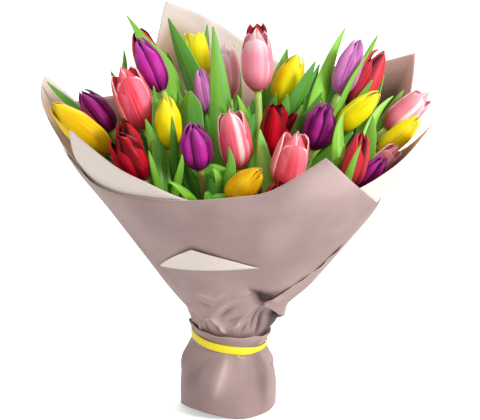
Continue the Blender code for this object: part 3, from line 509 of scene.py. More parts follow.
class Finish:
    """A procedural material: a Principled shader and the nodes that feed it."""

    def __init__(self, name, roughness, constants=None):
        self.material = bpy.data.materials.new(name)
        self.material.use_nodes = True
        self.tree = self.material.node_tree
        self.shader = self.tree.nodes["Principled BSDF"]
        self.shader.inputs["Roughness"].default_value = roughness
        for socket, value in (constants or {}).items():
            self.shader.inputs[socket].default_value = value

    def node(self, kind, settings=None, values=None, out=0):
        """Add a node; its settings are set first, then values or links go to its sockets."""
        made = self.tree.nodes.new(kind)
        for key, value in (settings or {}).items():
            setattr(made, key, value)
        for key, value in (values or {}).items():
            self.feed(made.inputs[key], value)
        return Wire(self, made.outputs[out])

    def feed(self, socket, value):
        if isinstance(value, Wire):
            self.tree.links.new(value.socket, socket)
        elif socket.type == "RGBA" and len(value) == 3:
            socket.default_value = (*value, 1)
        else:
            socket.default_value = value

    def mix(self, factor, first, second):
        """A colour between two colours."""
        return self.node("ShaderNodeMix", {"data_type": "RGBA"},
                         {0: factor, 6: first, 7: second}, 2)

    def step(self, value, low, high):
        """A smooth step from 0 at low to 1 at high."""
        return self.node("ShaderNodeMapRange", {"interpolation_type": "SMOOTHSTEP"},
                         {"Value": value, "From Min": low, "From Max": high})

    def noise(self, place, scale, detail=2.0, roughness=0.5):
        return self.node("ShaderNodeTexNoise", None, {"Vector": place, "Scale": scale,
                                                      "Detail": detail, "Roughness": roughness})

    def place(self, x, y, z=0.0):
        return self.node("ShaderNodeCombineXYZ", None, {0: x, 1: y, 2: z})

    def split(self, vector):
        """The three parts of a vector."""
        parts = self.tree.nodes.new("ShaderNodeSeparateXYZ")
        self.feed(parts.inputs[0], vector)
        return [Wire(self, part) for part in parts.outputs]

    def surface(self):
        """The two directions of a piece's own UV map."""
        return self.split(self.node("ShaderNodeUVMap"))[:2]

    def attribute(self, name):
        return self.node("ShaderNodeAttribute", {"attribute_name": name}, None, 2)

    def object_place(self):
        return self.node("ShaderNodeTexCoord", None, None, 3)

    def bump(self, height, depth, strength=1.0):
        made = self.node("ShaderNodeBump", None,
                         {"Height": height, "Strength": strength, "Distance": depth})
        self.feed(self.shader.inputs["Normal"], made)

    def colour(self, value):
        self.feed(self.shader.inputs["Base Color"], value)

    def roughness(self, value):
        self.feed(self.shader.inputs["Roughness"], value)


def petal_finish(name, body, full, deep, light, edge, foot, edging, valley_shade, crest_highlight, gloss):
    """A petal: streaks of the light colour along it, partly its own streaky colour and partly
    painted satin sheen; painted shade where it comes out from under the next petal and a painted
    highlight near its outer edge, with a pale edge. Inner petals are darker as painted shade, and
    some front petals get a painted highlight line. Its body colour lies between body and full by
    its tulip's tone. valley_shade is how dark the painted shade is, from where and to where
    across, and crest_highlight how strong the painted highlight is."""
    roughness, specular = gloss
    made = Finish(name, roughness, {"Subsurface Weight": 0.06, "Subsurface Scale": 0.002,
                                    "Specular IOR Level": specular})
    across, along = made.surface()
    tint, lot, deepness, stripe = (made.attribute(n) for n in ("tint", "lot", "tone", "stripe"))
    from_middle = abs(across * 2 - 1)
    streaks = made.noise(made.place(across * 22, along * 1.1, lot * 9), 1.0, 3.0, 0.6)
    broad = made.noise(made.place(across * 3, along * 0.9, lot * 5 + 3), 1.0, 2.0)
    tone = made.mix(deepness, body, full)
    # Streaks towards the light colour: partly the petal's own streaky colour, partly painted
    # satin sheen
    tone = made.mix(made.step(streaks, 0.42, 0.66) * 0.5, tone, light)
    tone = made.mix(made.step(broad, 0.5, 0.72) * 0.5, tone, deep)
    # Painted highlight: a band near the outer edge goes towards the light colour
    highlight_band = 1 - made.step(abs(across - 0.76), 0.03, 0.2)
    tone = made.mix(highlight_band * made.step(along, 0.1, 0.45) * crest_highlight, tone, light)
    # Painted shade where the petal comes out from under the next one
    strength, low, high = valley_shade
    under = 1 - made.step(across + streaks * 0.1, low, high)
    tone = made.mix(under * strength, tone, deep)
    # Darker by this attribute: random on the outer petals, painted shade on the inner whorl
    tone = made.mix(made.step(tint, 0.2, 1.0) * 0.3, tone, deep)
    tone = made.mix((1 - made.step(along, 0.02, 0.4)) * 0.55, tone, foot)
    # Pale tips of the paler blooms, and the painted highlight line down some front petals
    line = 1 - made.step(abs(across + streaks * 0.04 - 0.74), 0.03, 0.12)
    pale = (made.step(along, 0.6, 1.0) * (1 - deepness)
            + stripe * line * made.step(along, 0.02, 0.3))
    tone = made.mix(pale * (edging * 0.75), tone, edge)
    reach = from_middle + made.step(along, 0.86, 1.0) * 0.3 + streaks * 0.14
    begins = made.step(along, 0.08, 0.4) * (made.step(across, 0.4, 0.7) * 0.4 + 0.6)
    tone = made.mix(made.step(reach, 0.72, 1.12) * begins * (edging * 0.45), tone, edge)
    tone = made.mix(made.step(reach, 0.96, 1.06) * begins * edging, tone, edge)
    made.colour(tone)
    made.roughness(streaks * 0.16 + (roughness - 0.08))
    ribs = made.noise(made.place(across * 30, along * 1.0, lot), 1.0, 2.0)
    made.bump(ribs, 0.0005, 0.6)
    return made.material


def leaf_finish(fresh, dark, blue, pale):
    """A tulip leaf: parallel veins, a pale middle groove and a waxy bloom, with painted shade
    over one half of the blade and a painted highlight along its rim.
    """
    made = Finish("leaf_skin", 0.36, {"Subsurface Weight": 0.06, "Subsurface Scale": 0.003,
                                      "Specular IOR Level": 0.35})
    across, along = made.surface()
    bright, blueness, lot = (made.attribute(n) for n in ("bright", "blueness", "lot"))
    veins = made.noise(made.place(across * 30, along * 0.7, lot * 7), 1.0, 3.0, 0.6)
    patches = made.noise(made.place(across * 2, along * 3.5, lot * 3), 1.0, 2.0)
    tone = made.mix(bright, dark, fresh)
    tone = made.mix(blueness * made.step(patches, 0.3, 0.7) * 0.7, tone, blue)
    tone = made.mix(made.step(veins, 0.52, 0.72) * 0.16, tone, pale)
    tone = made.mix((1 - made.step(veins, 0.3, 0.48)) * 0.25, tone, dark)
    # Painted shade: one half of the blade, across from the midrib, goes towards the dark green
    side = made.step(across + patches * 0.3, 0.5, 0.8)
    tone = made.mix(side * 0.25, tone, dark)
    groove = 1 - made.step(abs(across * 2 - 1), 0.0, 0.06)
    tone = made.mix(groove * 0.35, tone, pale)
    # Painted highlight: the rim goes towards the pale green as rim light
    rim = made.step(abs(across * 2 - 1), 0.92, 1.0)
    tone = made.mix(rim * 0.75, tone, pale)
    tone = made.mix((1 - made.step(along, 0.0, 0.3)) * 0.3, tone, pale)
    made.colour(tone)
    made.roughness(patches * 0.16 + 0.28)
    made.bump(veins, 0.0003, 0.5)
    return made.material


def stem_finish(pale, green):
    """A stem: pale under its bloom, greener lower down, with faint lengthwise streaks."""
    made = Finish("stem_skin", 0.45, {"Subsurface Weight": 0.06, "Subsurface Scale": 0.003})
    across, along = made.surface()
    streaks = made.noise(made.place(across * 12, along * 8), 1.0, 3.0)
    tone = made.mix(made.step(along, 0.55, 0.95), green, pale)
    tone = made.mix(made.step(streaks, 0.45, 0.75) * 0.4, tone, green)
    tone = made.mix(made.attribute("brown") * 0.8, tone, linear((132, 104, 52)))
    made.colour(tone)
    made.bump(streaks, 0.0003, 0.5)
    return made.material


def paper_finish(name, body, tones, pitch, turn, gloss):
    """Florist's paper: fine parallel ribs on the flat sheet, fibres and faint rubbed places, with
    painted light and painted shade by its fold attribute: lighter above 0, darker below and
    darkest deep in folds and pockets."""
    shade, light = (linear(tone) for tone in tones)
    made = Finish(name, gloss, {"Specular IOR Level": 0.35})
    across, along = made.surface()
    c, s = math.cos(math.radians(turn)), math.sin(math.radians(turn))
    line = across * (c * math.tau / pitch) + along * (s * math.tau / pitch)
    wander = made.noise(made.place(across * 18, along * 18), 1.0, 2.0)
    ribs = (line + wander * 2.0).math("SINE") * 0.5 + 0.5
    fibres = made.noise(made.place(across * 900, along * 900), 1.0, 3.0, 0.65)
    clouds = made.noise(made.place(across * 9, along * 9), 1.0, 3.0, 0.55)
    tone = made.mix(made.step(clouds, 0.35, 0.7) * 0.5, body, light)
    # Painted light and painted shade, by the fold attribute
    fold = made.attribute("fold")
    tone = made.mix(made.step(fold, 0.4, 2.4) * 0.8, tone, light)
    tone = made.mix(made.step(fold * -1, 0.4, 2.8) * 0.75, tone, shade)
    tone = made.mix(made.step(fold * -1, 2.6, 6.5) * 0.9, tone, linear(FOLD_PAINTED_SHADE))
    tone = made.mix(ribs * 0.18, tone, shade)
    tone = made.mix(made.step(fibres, 0.55, 0.8) * 0.15, tone, shade)
    made.colour(tone)
    made.roughness(clouds * 0.2 + (gloss - 0.1))
    made.bump(ribs + fibres * 0.4, 0.00015, 0.4)
    return made.material


def ribbon_finish(body, shade, light):
    """Satin ribbon: fine threads along it and a soft sheen."""
    made = Finish("ribbon_satin", 0.34, {"Specular IOR Level": 0.6})
    across, along = made.surface()
    threads = (along * (math.tau * 14)).math("SINE") * 0.5 + 0.5
    weave = made.noise(made.place(across * 260, along * 14), 1.0, 2.0)
    tone = made.mix(threads * 0.35, body, shade)
    tone = made.mix(made.step(weave, 0.5, 0.8) * 0.5, tone, light)
    made.colour(tone)
    made.roughness(weave * 0.2 + 0.26)
    made.bump(threads + weave * 0.5, 0.0002, 0.5)
    return made.material


def twine_finish(body, shade):
    """The binding band's wound twine: slanting strands on Object coordinates."""
    made = Finish("twine", 0.85)
    place = made.object_place()
    height = made.split(place)[2]
    strands = (height * (math.tau / 0.0018)).math("SINE") * 0.5 + 0.5
    hairs = made.noise(place, 900.0, 3.0)
    made.colour(made.mix(strands * 0.5 + hairs * 0.3, shade, body))
    made.bump(strands + hairs * 0.4, 0.0006, 0.8)
    return made.material


def plain_finish(name, first, second, scale, roughness, constants=None):
    """A quiet finish of two close colours, for the floor and for small parts."""
    made = Finish(name, roughness, constants)
    speckle = made.noise(made.object_place(), scale, 3.0)
    made.colour(made.mix(made.step(speckle, 0.35, 0.7), first, second))
    return made.material


# Mesh building
def hermite(t, first, slope, last, last_slope, span):
    """A smooth way from first to last over a span, with the slopes given at its ends."""
    return ((2 * t**3 - 3 * t**2 + 1) * first + (t**3 - 2 * t**2 + t) * span * slope
            + (3 * t**2 - 2 * t**3) * last + (t**3 - t**2) * span * last_slope)


def eased(x, xs, ys):
    """A smooth curve through given points."""
    xs, ys = np.array(xs, float), np.array(ys, float)
    slopes = np.gradient(ys, xs)
    x = np.clip(x, xs[0], xs[-1])
    i = np.clip(np.searchsorted(xs, x, side="right") - 1, 0, len(xs) - 2)
    step = xs[i + 1] - xs[i]
    t = (x - xs[i]) / step
    return hermite(t, ys[i], slopes[i], ys[i + 1], slopes[i + 1], step)


def smooth_step(x, low, high):
    """A smooth step from 0 at low to 1 at high."""
    t = np.clip((x - low) / (high - low), 0, 1)
    return t * t * (3 - 2 * t)


def hump(x, middle, half):
    """A smooth hump, 1 at its middle and about a third at half its width."""
    return np.exp(-((x - middle) / half) ** 2)


def turned_from(angle, middle):
    """How far round an angle is from a middle one, from -180 to 180 degrees."""
    return (angle - middle + 180) % 360 - 180


def deselect():
    for item in bpy.context.selected_objects:
        item.select_set(False)


def mesh_points(mesh):
    """The places of a mesh's points."""
    at = np.empty(len(mesh.vertices) * 3)
    mesh.vertices.foreach_get("co", at)
    return at.reshape(-1, 3)


def skin(name, columns, rows, place, thickness, materials, flat=None, closed=False):
    """A thin curved sheet: a grid is added, its points are put in place, and it gets its
    thickness. place turns u and v, from 0 to 1, into points in millimetres. A closed one has
    its two edges joined. The first material is outside, the second inside."""
    deselect()
    bpy.ops.mesh.primitive_grid_add(x_subdivisions=columns, y_subdivisions=rows, size=2)
    made = bpy.context.object
    made.name = made.data.name = name
    mesh = made.data
    at = mesh_points(mesh)
    u, v = (at[:, 0] + 1) / 2, (at[:, 1] + 1) / 2
    mesh.vertices.foreach_set("co", (place(u, v) * MM).ravel())
    if flat is not None:
        corners = np.empty(len(mesh.loops), int)
        mesh.loops.foreach_get("vertex_index", corners)
        mesh.uv_layers[0].data.foreach_set("uv", flat(u, v)[corners].ravel())
    mesh.update()
    if closed:
        bpy.ops.object.mode_set(mode="EDIT")
        bpy.ops.mesh.select_all(action="SELECT")
        bpy.ops.mesh.remove_doubles(threshold=0.00001)
        bpy.ops.object.mode_set(mode="OBJECT")
    bpy.ops.object.shade_smooth()
    for item in materials:
        made.data.materials.append(item)
    if thickness:
        thick = made.modifiers.new("thickness", "SOLIDIFY")
        thick.thickness = thickness
        thick.offset = 0
        thick.material_offset = 1 if len(materials) > 1 else 0
        thick.material_offset_rim = thick.material_offset
        bpy.ops.object.modifier_apply(modifier=thick.name)
    return made


def mark(made, **values):
    """Give a piece's points attributes for its material, each one value or one a point."""
    for name, value in values.items():
        layer = made.data.attributes.new(name, "FLOAT", "POINT")
        layer.data.foreach_set("value", np.full(len(made.data.vertices), value, np.float32))


def join(parts, name):
    """One piece from several."""
    deselect()
    for item in parts:
        item.select_set(True)
    bpy.context.view_layer.objects.active = parts[0]
    if len(parts) > 1:
        bpy.ops.object.join()
    made = bpy.context.object
    made.name = made.data.name = name
    return made


def stand_for(made, node):
    """Hide the CAD node that a finished piece stands for, and let it ride on the bouquet."""
    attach(made, BODY)
    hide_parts(node)
    return made


def rod(name, points, radii, sides, materials):
    """A round rod along points in millimetres, with a radius at each."""
    points = np.array(points, float)
    radii = np.array(radii, float)
    ways = np.gradient(points, axis=0)
    ways /= np.linalg.norm(ways, axis=1)[:, None]
    side = np.cross(ways, (0.0, 1.0, 0.15))
    side /= np.linalg.norm(side, axis=1)[:, None]
    up = np.cross(side, ways)

    def place(u, v):
        row = np.rint(v * (len(points) - 1)).astype(int)
        turn = u * math.tau
        return points[row] + (side[row] * np.cos(turn)[:, None]
                              + up[row] * np.sin(turn)[:, None]) * radii[row][:, None]

    made = skin(name, sides, len(points) - 1, place, 0, materials, closed=True)
    bpy.ops.object.mode_set(mode="EDIT")
    bpy.ops.mesh.select_all(action="SELECT")
    bpy.ops.mesh.fill_holes(sides=0)
    bpy.ops.mesh.normals_make_consistent(inside=False)
    bpy.ops.object.mode_set(mode="OBJECT")
    return made


# Blooms
def closing(v, mouth, closed, dome):
    """Radius of the petals beside the cup's widest, at height v from its base (0) to its tip
    (1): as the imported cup, but closed at the tip."""
    shoulder = 0.93 + 0.05 * mouth
    tip = mouth * closed
    heights, low = CLOSED_CUP
    return eased(v, heights, (*low, shoulder,
                              *(tip + full * (shoulder - tip) for full in dome), tip))


def cup_axes(tip, base):
    """Base, side, front and long direction of a cup, and its length."""
    tip, base = np.array(tip, float), np.array(base, float)
    length = float(np.linalg.norm(tip - base))
    axis = (tip - base) / length
    side = np.cross(axis, (0.0, -1.0, 0.0))
    side /= np.linalg.norm(side)
    return base, side, np.cross(side, axis), axis, length


def petal(name, tulip, whorl, index, finish, settings, chance):
    """One petal of a cup: a boat-shaped blade with a rounded tip, tucked in at its edges."""
    number, colour, tip, base, width, mouth, facing, tone = tulip
    base, side, front, axis, length = cup_axes(tip, base)
    half, tuck, blunt, narrows, inset, over = PETAL_FORMS[colour]
    stands_open = number in OPEN_BLOOMS
    closed = OPEN_CLOSING if stands_open else (TIP_CLOSING[colour], INNER_CLOSING)[whorl]
    loose = LOOSE_PETALS.get((number, whorl, index), 0)
    half = math.radians(half) * chance.uniform(0.95, 1.05)
    if whorl:
        half *= INNER_WIDER
        blunt *= INNER_BLUNTER
    height = PETAL_HEIGHTS[colour][whorl][index]
    if (whorl, index) == (0, 0):
        height = TALL_FRONTS.get(number, height)
    height *= chance.uniform(0.985, 1.0)
    middle = math.radians(facing + 120 * index + 60 * whorl + chance.uniform(-5, 5))
    own_mouth = mouth * chance.uniform(0.92, 1.06)
    taper = INNER_TAPER if whorl and not stands_open else 0
    inset = inset * whorl + 0.3
    dome = DOME if whorl else ROUND_DOME.get(colour, DOME)
    lean, wave, phase, sway = (chance.uniform(low, high) for low, high in
                               ((over * 0.7, over * 1.2), (0.1, 0.3), (0, math.tau), (-0.1, 0.1)))

    def place(u, v):
        across = u * 2 - 1
        edge = abs(across)
        up = PETAL_BASE_HEIGHT + (height - PETAL_BASE_HEIGHT) * v
        spread = eased(v, *PETAL_SPREAD)
        spread *= np.clip(1 - (np.clip(v - narrows, 0, 1) / (1 - narrows)) ** 2.2, 0, 1) ** blunt
        turn = middle + (across + sway * smooth_step(v, 0.5, 1)) * half * (spread * 0.98 + 0.02)
        radius = width / 2 * closing(up, own_mouth, closed, dome) - inset
        radius *= 1 - taper * smooth_step(up, 0.66, 1.0)
        radius += loose * smooth_step(v, 0.45, 0.95)
        radius -= width / 2 * tuck * edge**2.2 * np.sin(math.pi * np.clip(v * 1.02, 0, 1)) ** 0.6
        radius += lean * across * np.sin(math.pi * np.clip(v, 0, 1))
        radius += 0.3 * hump(edge, 0, 0.14) * smooth_step(v, 0.1, 0.5)
        radius += wave * edge**3 * np.sin(9 * v + phase) * v
        radius = np.maximum(radius, 0.5)
        out = front * np.cos(turn)[:, None] + side * np.sin(turn)[:, None]
        rise = up * length - 0.02 * length * edge**2 * v
        rise -= loose * 1.4 * np.clip(v - 0.62, 0, 1) ** 1.5 * 2
        return base + out * radius[:, None] + axis * rise[:, None]

    made = skin(name, settings.petal_columns, settings.petal_rows, place,
                settings.petal_thickness, [finish])
    # Higher values for the inner whorl: painted shade inside the cup
    mark(made, tint=chance.uniform(0, 0.5) if whorl == 0 else chance.uniform(0.4, 0.9),
         lot=chance.uniform(0, 1), tone=tone,
         stripe=HIGHLIGHT_STRIPES.get(number, 0) if (whorl, index) == (0, 0) else 0)
    return made


def heart(name, tulip, finishes):
    """What the petals stand round: the swelling of the stem, the pistil and six stamens."""
    number, _, tip, base, width, mouth = tulip[:6]
    base, side, front, axis, length = cup_axes(tip, base)
    root = width / 2 * 0.24
    parts = [rod(f"{name}_receptacle", [base + axis * z for z in (0, 0.8, 1.8, 3, 4.5)],
                 (root, root * 1.25, root * 1.35, root * 0.9, 0.4), 12, [finishes[0]])]
    if mouth >= HIDDEN_MOUTH:
        heights = (3, length * 0.2, length * 0.3, length * 0.34, length * 0.37)
        parts.append(rod(f"{name}_pistil", [base + axis * z for z in heights], PISTIL_RADII, 9,
                         [finishes[0]]))
        for index in range(STAMENS):
            turn = index * math.tau / STAMENS + number
            out = side * math.cos(turn) + front * math.sin(turn)
            line = [base + axis * (length * up) + out * reach for up, reach in STAMEN_LINE]
            parts.append(rod(f"{name}_stamen", line, STAMEN_RADII, 6, [finishes[1]]))
    for part in parts:
        mark(part, tint=0.2, lot=0.0, tone=0.5, stripe=0.0)
    return parts


# Stems
def cup_radius(tulip, v):
    """Outer radius of a tulip's packed cup at v, the part of its height above its base."""
    width, mouth = tulip[4:6]
    shoulder = 0.9 + 0.08 * mouth
    heights, low = PACKED_CUP
    return width / 2 * float(np.interp(v, heights, (
        *low, shoulder, 0.55 * shoulder + 0.45 * mouth, mouth)))


def tie_places(tulips):
    """Places at the tie, on a close hexagonal pattern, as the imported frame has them."""
    steps = range(-TIE_RINGS, TIE_RINGS + 1)
    spots = [(p + q / 2, q * math.sqrt(3) / 2) for p in steps for q in steps]
    spots.sort(key=lambda s: (round(math.hypot(*s), 6), round(math.atan2(s[1], s[0]), 6)))
    spots = np.array(spots[:len(tulips)]) * TIE_PITCH
    heads = np.array([t[3][:2] for t in tulips], float)
    target = heads * BLOOM_DRAW
    numbers = [t[0] for t in tulips]
    mates = [(numbers.index(a), numbers.index(b)) for a, b in SHARED_STEMS]
    order = list(np.argsort(np.arctan2(target[:, 1], target[:, 0])))
    rank = list(np.argsort(np.arctan2(spots[:, 1], spots[:, 0])))
    place = np.zeros(len(tulips), int)
    place[order] = rank

    def cost():
        total = float(((spots[place] - target) ** 2).sum())
        for a, b in mates:
            apart = float(np.hypot(*(spots[place[a]] - spots[place[b]])))
            total += PARTING_PRICE * max(0, apart - TIE_PITCH * 1.01) ** 2
        return total

    best = cost()
    for _ in range(SWAP_ROUNDS):
        improved = False
        for a in range(len(tulips)):
            for b in range(a):
                place[a], place[b] = place[b], place[a]
                now = cost()
                if now < best - 1e-6:
                    best = now
                    improved = True
                else:
                    place[a], place[b] = place[b], place[a]
        if not improved:
            break
    return spots[place], mates


def push_apart(path, slopes, k, here):
    """Push stems that run too close to each other at level k apart."""
    for order, a in enumerate(here):
        for b in here[:order]:
            gap = path[a, k] - path[b, k]
            flat = float(np.hypot(*gap))
            if flat > NEIGHBOUR_REACH:
                continue
            lean = (slopes[a, k] + slopes[b, k]) / 2
            slid = float(gap @ lean) / math.sqrt(1 + float(lean @ lean))
            real = math.sqrt(max(flat**2 - slid**2, 1e-4))
            short = 2 * STEM_RADIUS + STEM_CLEAR * min(1, k / 4) - real
            if short > 0:
                push = gap / max(flat, 1e-3) * short * STEM_PUSH
                path[a, k] += push
                path[b, k] -= push


def push_off_cups(path, level, k, here, tulips, cups):
    """Push stems off the cups that they pass at level k."""
    bases, axes, lengths = cups
    for a in here:
        point = np.array([*path[a, k], level])
        up = ((point - bases) * axes).sum(axis=1)
        near = np.clip(up, 0, lengths)
        away = point - (bases + axes * near[:, None])
        for b, tulip in enumerate(tulips):
            if a == b or up[b] < -CUP_BELOW or up[b] > lengths[b] + CUP_ABOVE:
                continue
            reach = cup_radius(tulip, near[b] / lengths[b]) + STEM_RADIUS + CUP_CLEAR
            real = float(np.linalg.norm(away[b]))
            flat = away[b][:2]
            size = float(np.hypot(*flat))
            if real < reach and size > 1e-3:
                path[a, k] += flat / size * (reach - real) * CUP_PUSH


def evened(path, first, alive):
    """Smooth how far the stems have moved, and keep their two ends where they were."""
    drift = path - first
    smooth = drift.copy()
    smooth[:, 1:-1] = (drift[:, :-2] + 2 * drift[:, 1:-1] + drift[:, 2:]) / 4
    for i, levels in enumerate(alive):
        last = int(levels.sum())
        smooth[i, last:] = 0
        if last > 1:
            smooth[i, last - 1] *= 0.6
    smooth[:, 0] = 0
    return first + smooth


def stem_routes(tulips):
    """The middle line of each stem, from its cut end through the tie to its bloom. Above the
    tie the stems are bent clear of each other and of the cups that they pass."""
    ties, mates = tie_places(tulips)
    bases = np.array([t[3] for t in tulips], float)
    tips = np.array([t[2] for t in tulips], float)
    axes = tips - bases
    lengths = np.linalg.norm(axes, axis=1)
    axes /= lengths[:, None]
    tops = bases - axes * JOINT_GAP
    necks = tops - axes * STEM_NECK_LENGTH
    levels = np.arange(TIE_HIGH, RELAX_TOP, RELAX_STEP, dtype=float)
    count = len(tulips)
    path = np.zeros((count, len(levels), 2))
    for i in range(count):
        rise = necks[i, 2] - TIE_HIGH
        start = (necks[i, :2] - ties[i]) / rise * 0.55
        end = axes[i, :2] / axes[i, 2]
        end *= min(1, 0.9 / max(float(np.hypot(*end)), 1e-6))
        for k, z in enumerate(levels):
            t = min((z - TIE_HIGH) / rise, 1)
            path[i, k] = hermite(t, ties[i], start, necks[i, :2], end, rise)
    first = path.copy()
    alive = levels[None, :] < necks[:, 2][:, None] - RELAX_STEP * 0.5
    for _ in range(RELAX_ROUNDS):
        slopes = np.gradient(path, RELAX_STEP, axis=1)
        for k in range(1, len(levels)):
            here = [i for i in range(count) if alive[i, k]]
            push_apart(path, slopes, k, here)
            push_off_cups(path, levels[k], k, here, tulips, (bases, axes, lengths))
        path = evened(path, first, alive)
    routes = {}
    shifted = ties.copy()
    for a, b in mates:
        toward = ties[b] - ties[a]
        shifted[b] = ties[a] + toward / np.hypot(*toward) * TOUCH_PITCH
    for i, tulip in enumerate(tulips):
        turned = np.array([
            ties[i, 0] * math.cos(SPIRAL_AT_CUT) - ties[i, 1] * math.sin(SPIRAL_AT_CUT),
            ties[i, 0] * math.sin(SPIRAL_AT_CUT) + ties[i, 1] * math.cos(SPIRAL_AT_CUT)])
        cut = turned * FAN_AT_CUT
        route = [(*cut, 0), (*cut, CUT_LENGTH), (*shifted[i], TIE_LOW), (*shifted[i], TIE_HIGH)]
        for z in np.arange(TIE_HIGH + STEM_STEP, necks[i, 2] - STEM_STEP * 0.3, STEM_STEP):
            k = int(round((z - TIE_HIGH) / RELAX_STEP))
            route.append((*path[i, k], levels[k]))
        route += [tuple(necks[i]), tuple(tops[i])]
        routes[tulip[0]] = [Vector(p) for p in route]
    return routes


# Leaves
def along(route, z):
    """The point and direction of a stem's middle line at a height."""
    for low, high in zip(route, route[1:]):
        if low.z <= z <= high.z:
            part = (z - low.z) / max(high.z - low.z, 1e-6)
            return low.lerp(high, part), (high - low).normalized()
    return route[-1], (route[-1] - route[-2]).normalized()


def nearest_stem(point, routes):
    """The stem that passes nearest to a point of a leaf's midrib."""
    return min(routes, key=lambda n: (along(routes[n], point.z - LEAF_ROOT_DROP / 2)[0]
                                      - (point - Vector((0, 0, LEAF_ROOT_DROP / 2)))).length)


def midrib(tip, lower, route):
    """The four control points of a leaf's middle line, root first, as Bezier points."""
    root, rising = along(route, max(lower.z - LEAF_ROOT_DROP, TIE_HIGH + 25))
    length = (tip - root).length
    return (root, root + rising * length * 0.3,
            lower.lerp(tip, 0.3) + (lower - root).normalized() * 2, tip)


def midrib_frames(controls, turn, t):
    """Points, directions across and facing directions along a leaf's midrib."""
    c = np.array([list(p) for p in controls])
    t = np.asarray(t, float)[:, None]
    s = 1 - t
    spine = c[0] * s**3 + c[1] * 3 * s**2 * t + c[2] * 3 * s * t**2 + c[3] * t**3
    way = (c[1] - c[0]) * s**2 + (c[2] - c[1]) * 2 * s * t + (c[3] - c[2]) * t**2
    way /= np.linalg.norm(way, axis=1)[:, None]
    facing = np.array((math.sin(math.radians(turn)), -math.cos(math.radians(turn)), 0.0))
    across = np.cross(way, facing)
    across /= np.linalg.norm(across, axis=1)[:, None]
    face = np.cross(across, way)
    return spine, across, face


def packed_row(controls, width, turn, row):
    """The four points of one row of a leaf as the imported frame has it."""
    spine, across, face = (p[0] for p in midrib_frames(
        controls, turn, [row / CAD_LEAF_ROWS * CAD_LEAF_REACH]))
    half = width / 2 * float(np.interp(row / CAD_LEAF_ROWS, LEAF_STATIONS, LEAF_WIDTHS))
    cup = LEAF_CUP * half * (1 + 0.25 * math.sin(row * 2.4 + turn))
    thick = CAD_LEAF_THICKNESS / 2
    return (spine - across * half - face * cup, spine + face * thick,
            spine + across * half - face * cup, spine - face * thick)


def packed_leaf(tip, lower, width, turn, route, points):
    """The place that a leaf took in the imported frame, or None where it has none there."""
    for narrow in LEAF_NARROWINGS:
        for dx in LEAF_SHIFTS[:5]:
            for dy in LEAF_SHIFTS:
                shift = Vector((dx, dy, 0))
                controls = midrib(Vector(tip) + shift, Vector(lower) + shift * 0.5, route)
                if all(points.find(point)[2] < CAD_MATCH for row in CAD_SOUGHT_ROWS
                       for point in packed_row(controls, width * narrow, turn, row)):
                    return controls, width * narrow
    return None


def node_points(node):
    """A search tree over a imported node's points, in millimetres."""
    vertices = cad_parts[node].data.vertices
    tree = kdtree.KDTree(len(vertices))
    for index, vertex in enumerate(vertices):
        tree.insert(vertex.co / MM, index)
    tree.balance()
    return tree


def inner_leaf(route, chance):
    """A leaf among the stems that reaches about to the foot of its own bloom, kept inside the
    wrap: its middle line, width, turn and look."""
    top = route[-1].z - chance.uniform(-24, 30)
    way = chance.uniform(0, math.tau)
    out = Vector((math.cos(way), math.sin(way), 0))
    spots = []
    for z, reach in ((top, chance.uniform(9, 20)), (top - chance.uniform(34, 48), 8)):
        at = along(route, z)[0] + out * reach
        half_x, half_y, shift = wrap_size(at.z, 0)
        share = math.hypot((at.x - shift) / half_x, at.y / half_y)
        if share > INNER_CLEAR:
            at.x = shift + (at.x - shift) * INNER_CLEAR / share
            at.y *= INNER_CLEAR / share
        spots.append(at)
    return (midrib(*spots, route), chance.uniform(11, 18), chance.uniform(-45, 45),
            (chance.uniform(0.05, 0.6), chance.uniform(0, 0.5)))


def leaf(name, controls, width, turn, look, finish, settings, chance, widths=LEAF_WIDTHS):
    """One leaf: a cupped blade with a middle groove, a wavy rim and a pointed tip."""
    bright, blueness = look
    wave, phase, twist = (chance.uniform(low, high) for low, high in
                          ((0.02, 0.07), (0, math.tau), (-6, 6)))

    def place(u, v):
        across = u * 2 - 1
        spine, side, face = midrib_frames(controls, turn, v * 0.995)
        half = width / 2 * eased(v, LEAF_STATIONS, widths)
        lean = np.radians(twist * (v - 0.4))
        side, face = (side * np.cos(lean)[:, None] + face * np.sin(lean)[:, None],
                      face * np.cos(lean)[:, None] - side * np.sin(lean)[:, None])
        depth = -LEAF_CUP * half * abs(across) ** 1.5
        depth -= 0.35 * hump(across, 0, 0.1) * np.sin(math.pi * v)
        depth += wave * width * across**2 * np.sin(10 * v + phase) * np.sin(math.pi * v)
        return spine + side * (across * half)[:, None] + face * depth[:, None]

    made = skin(name, settings.leaf_columns, settings.leaf_rows, place, settings.leaf_thickness,
                [finish])
    mark(made, bright=bright, blueness=blueness, lot=chance.uniform(0, 1))
    return made


def stem(name, route, finish, brown):
    """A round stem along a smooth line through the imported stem's points."""
    heights = np.array([p.z for p in route])
    fine = np.unique(np.concatenate([np.linspace(heights[0], heights[-1], 48), heights]))
    points = np.stack([eased(fine, heights, [p[i] for p in route]) for i in range(3)], axis=1)
    points[:, 2] = fine
    share = np.clip((fine - TIE_HIGH) / (heights[-1] - TIE_HIGH), 0, 1)
    radii = STEM_RADIUS + (STEM_TOP_RADIUS - STEM_RADIUS) * share
    radii *= 1 + 0.03 * np.sin(fine * 0.11)
    made = rod(name, points, radii, 14, [finish])
    mark(made, brown=brown)
    return made


# Paper
def wrap_size(z, layer):
    """Half-width, half-depth and shift of a nested sheet of the wrap at each height."""
    heights, half_x, half_y, shift = zip(*WRAP_PROFILE)
    out = layer * np.interp(z, *zip(*LAYER_STEP))
    return (np.interp(z, heights, half_x) + out, np.interp(z, heights, half_y) + out,
            np.interp(z, heights, shift))


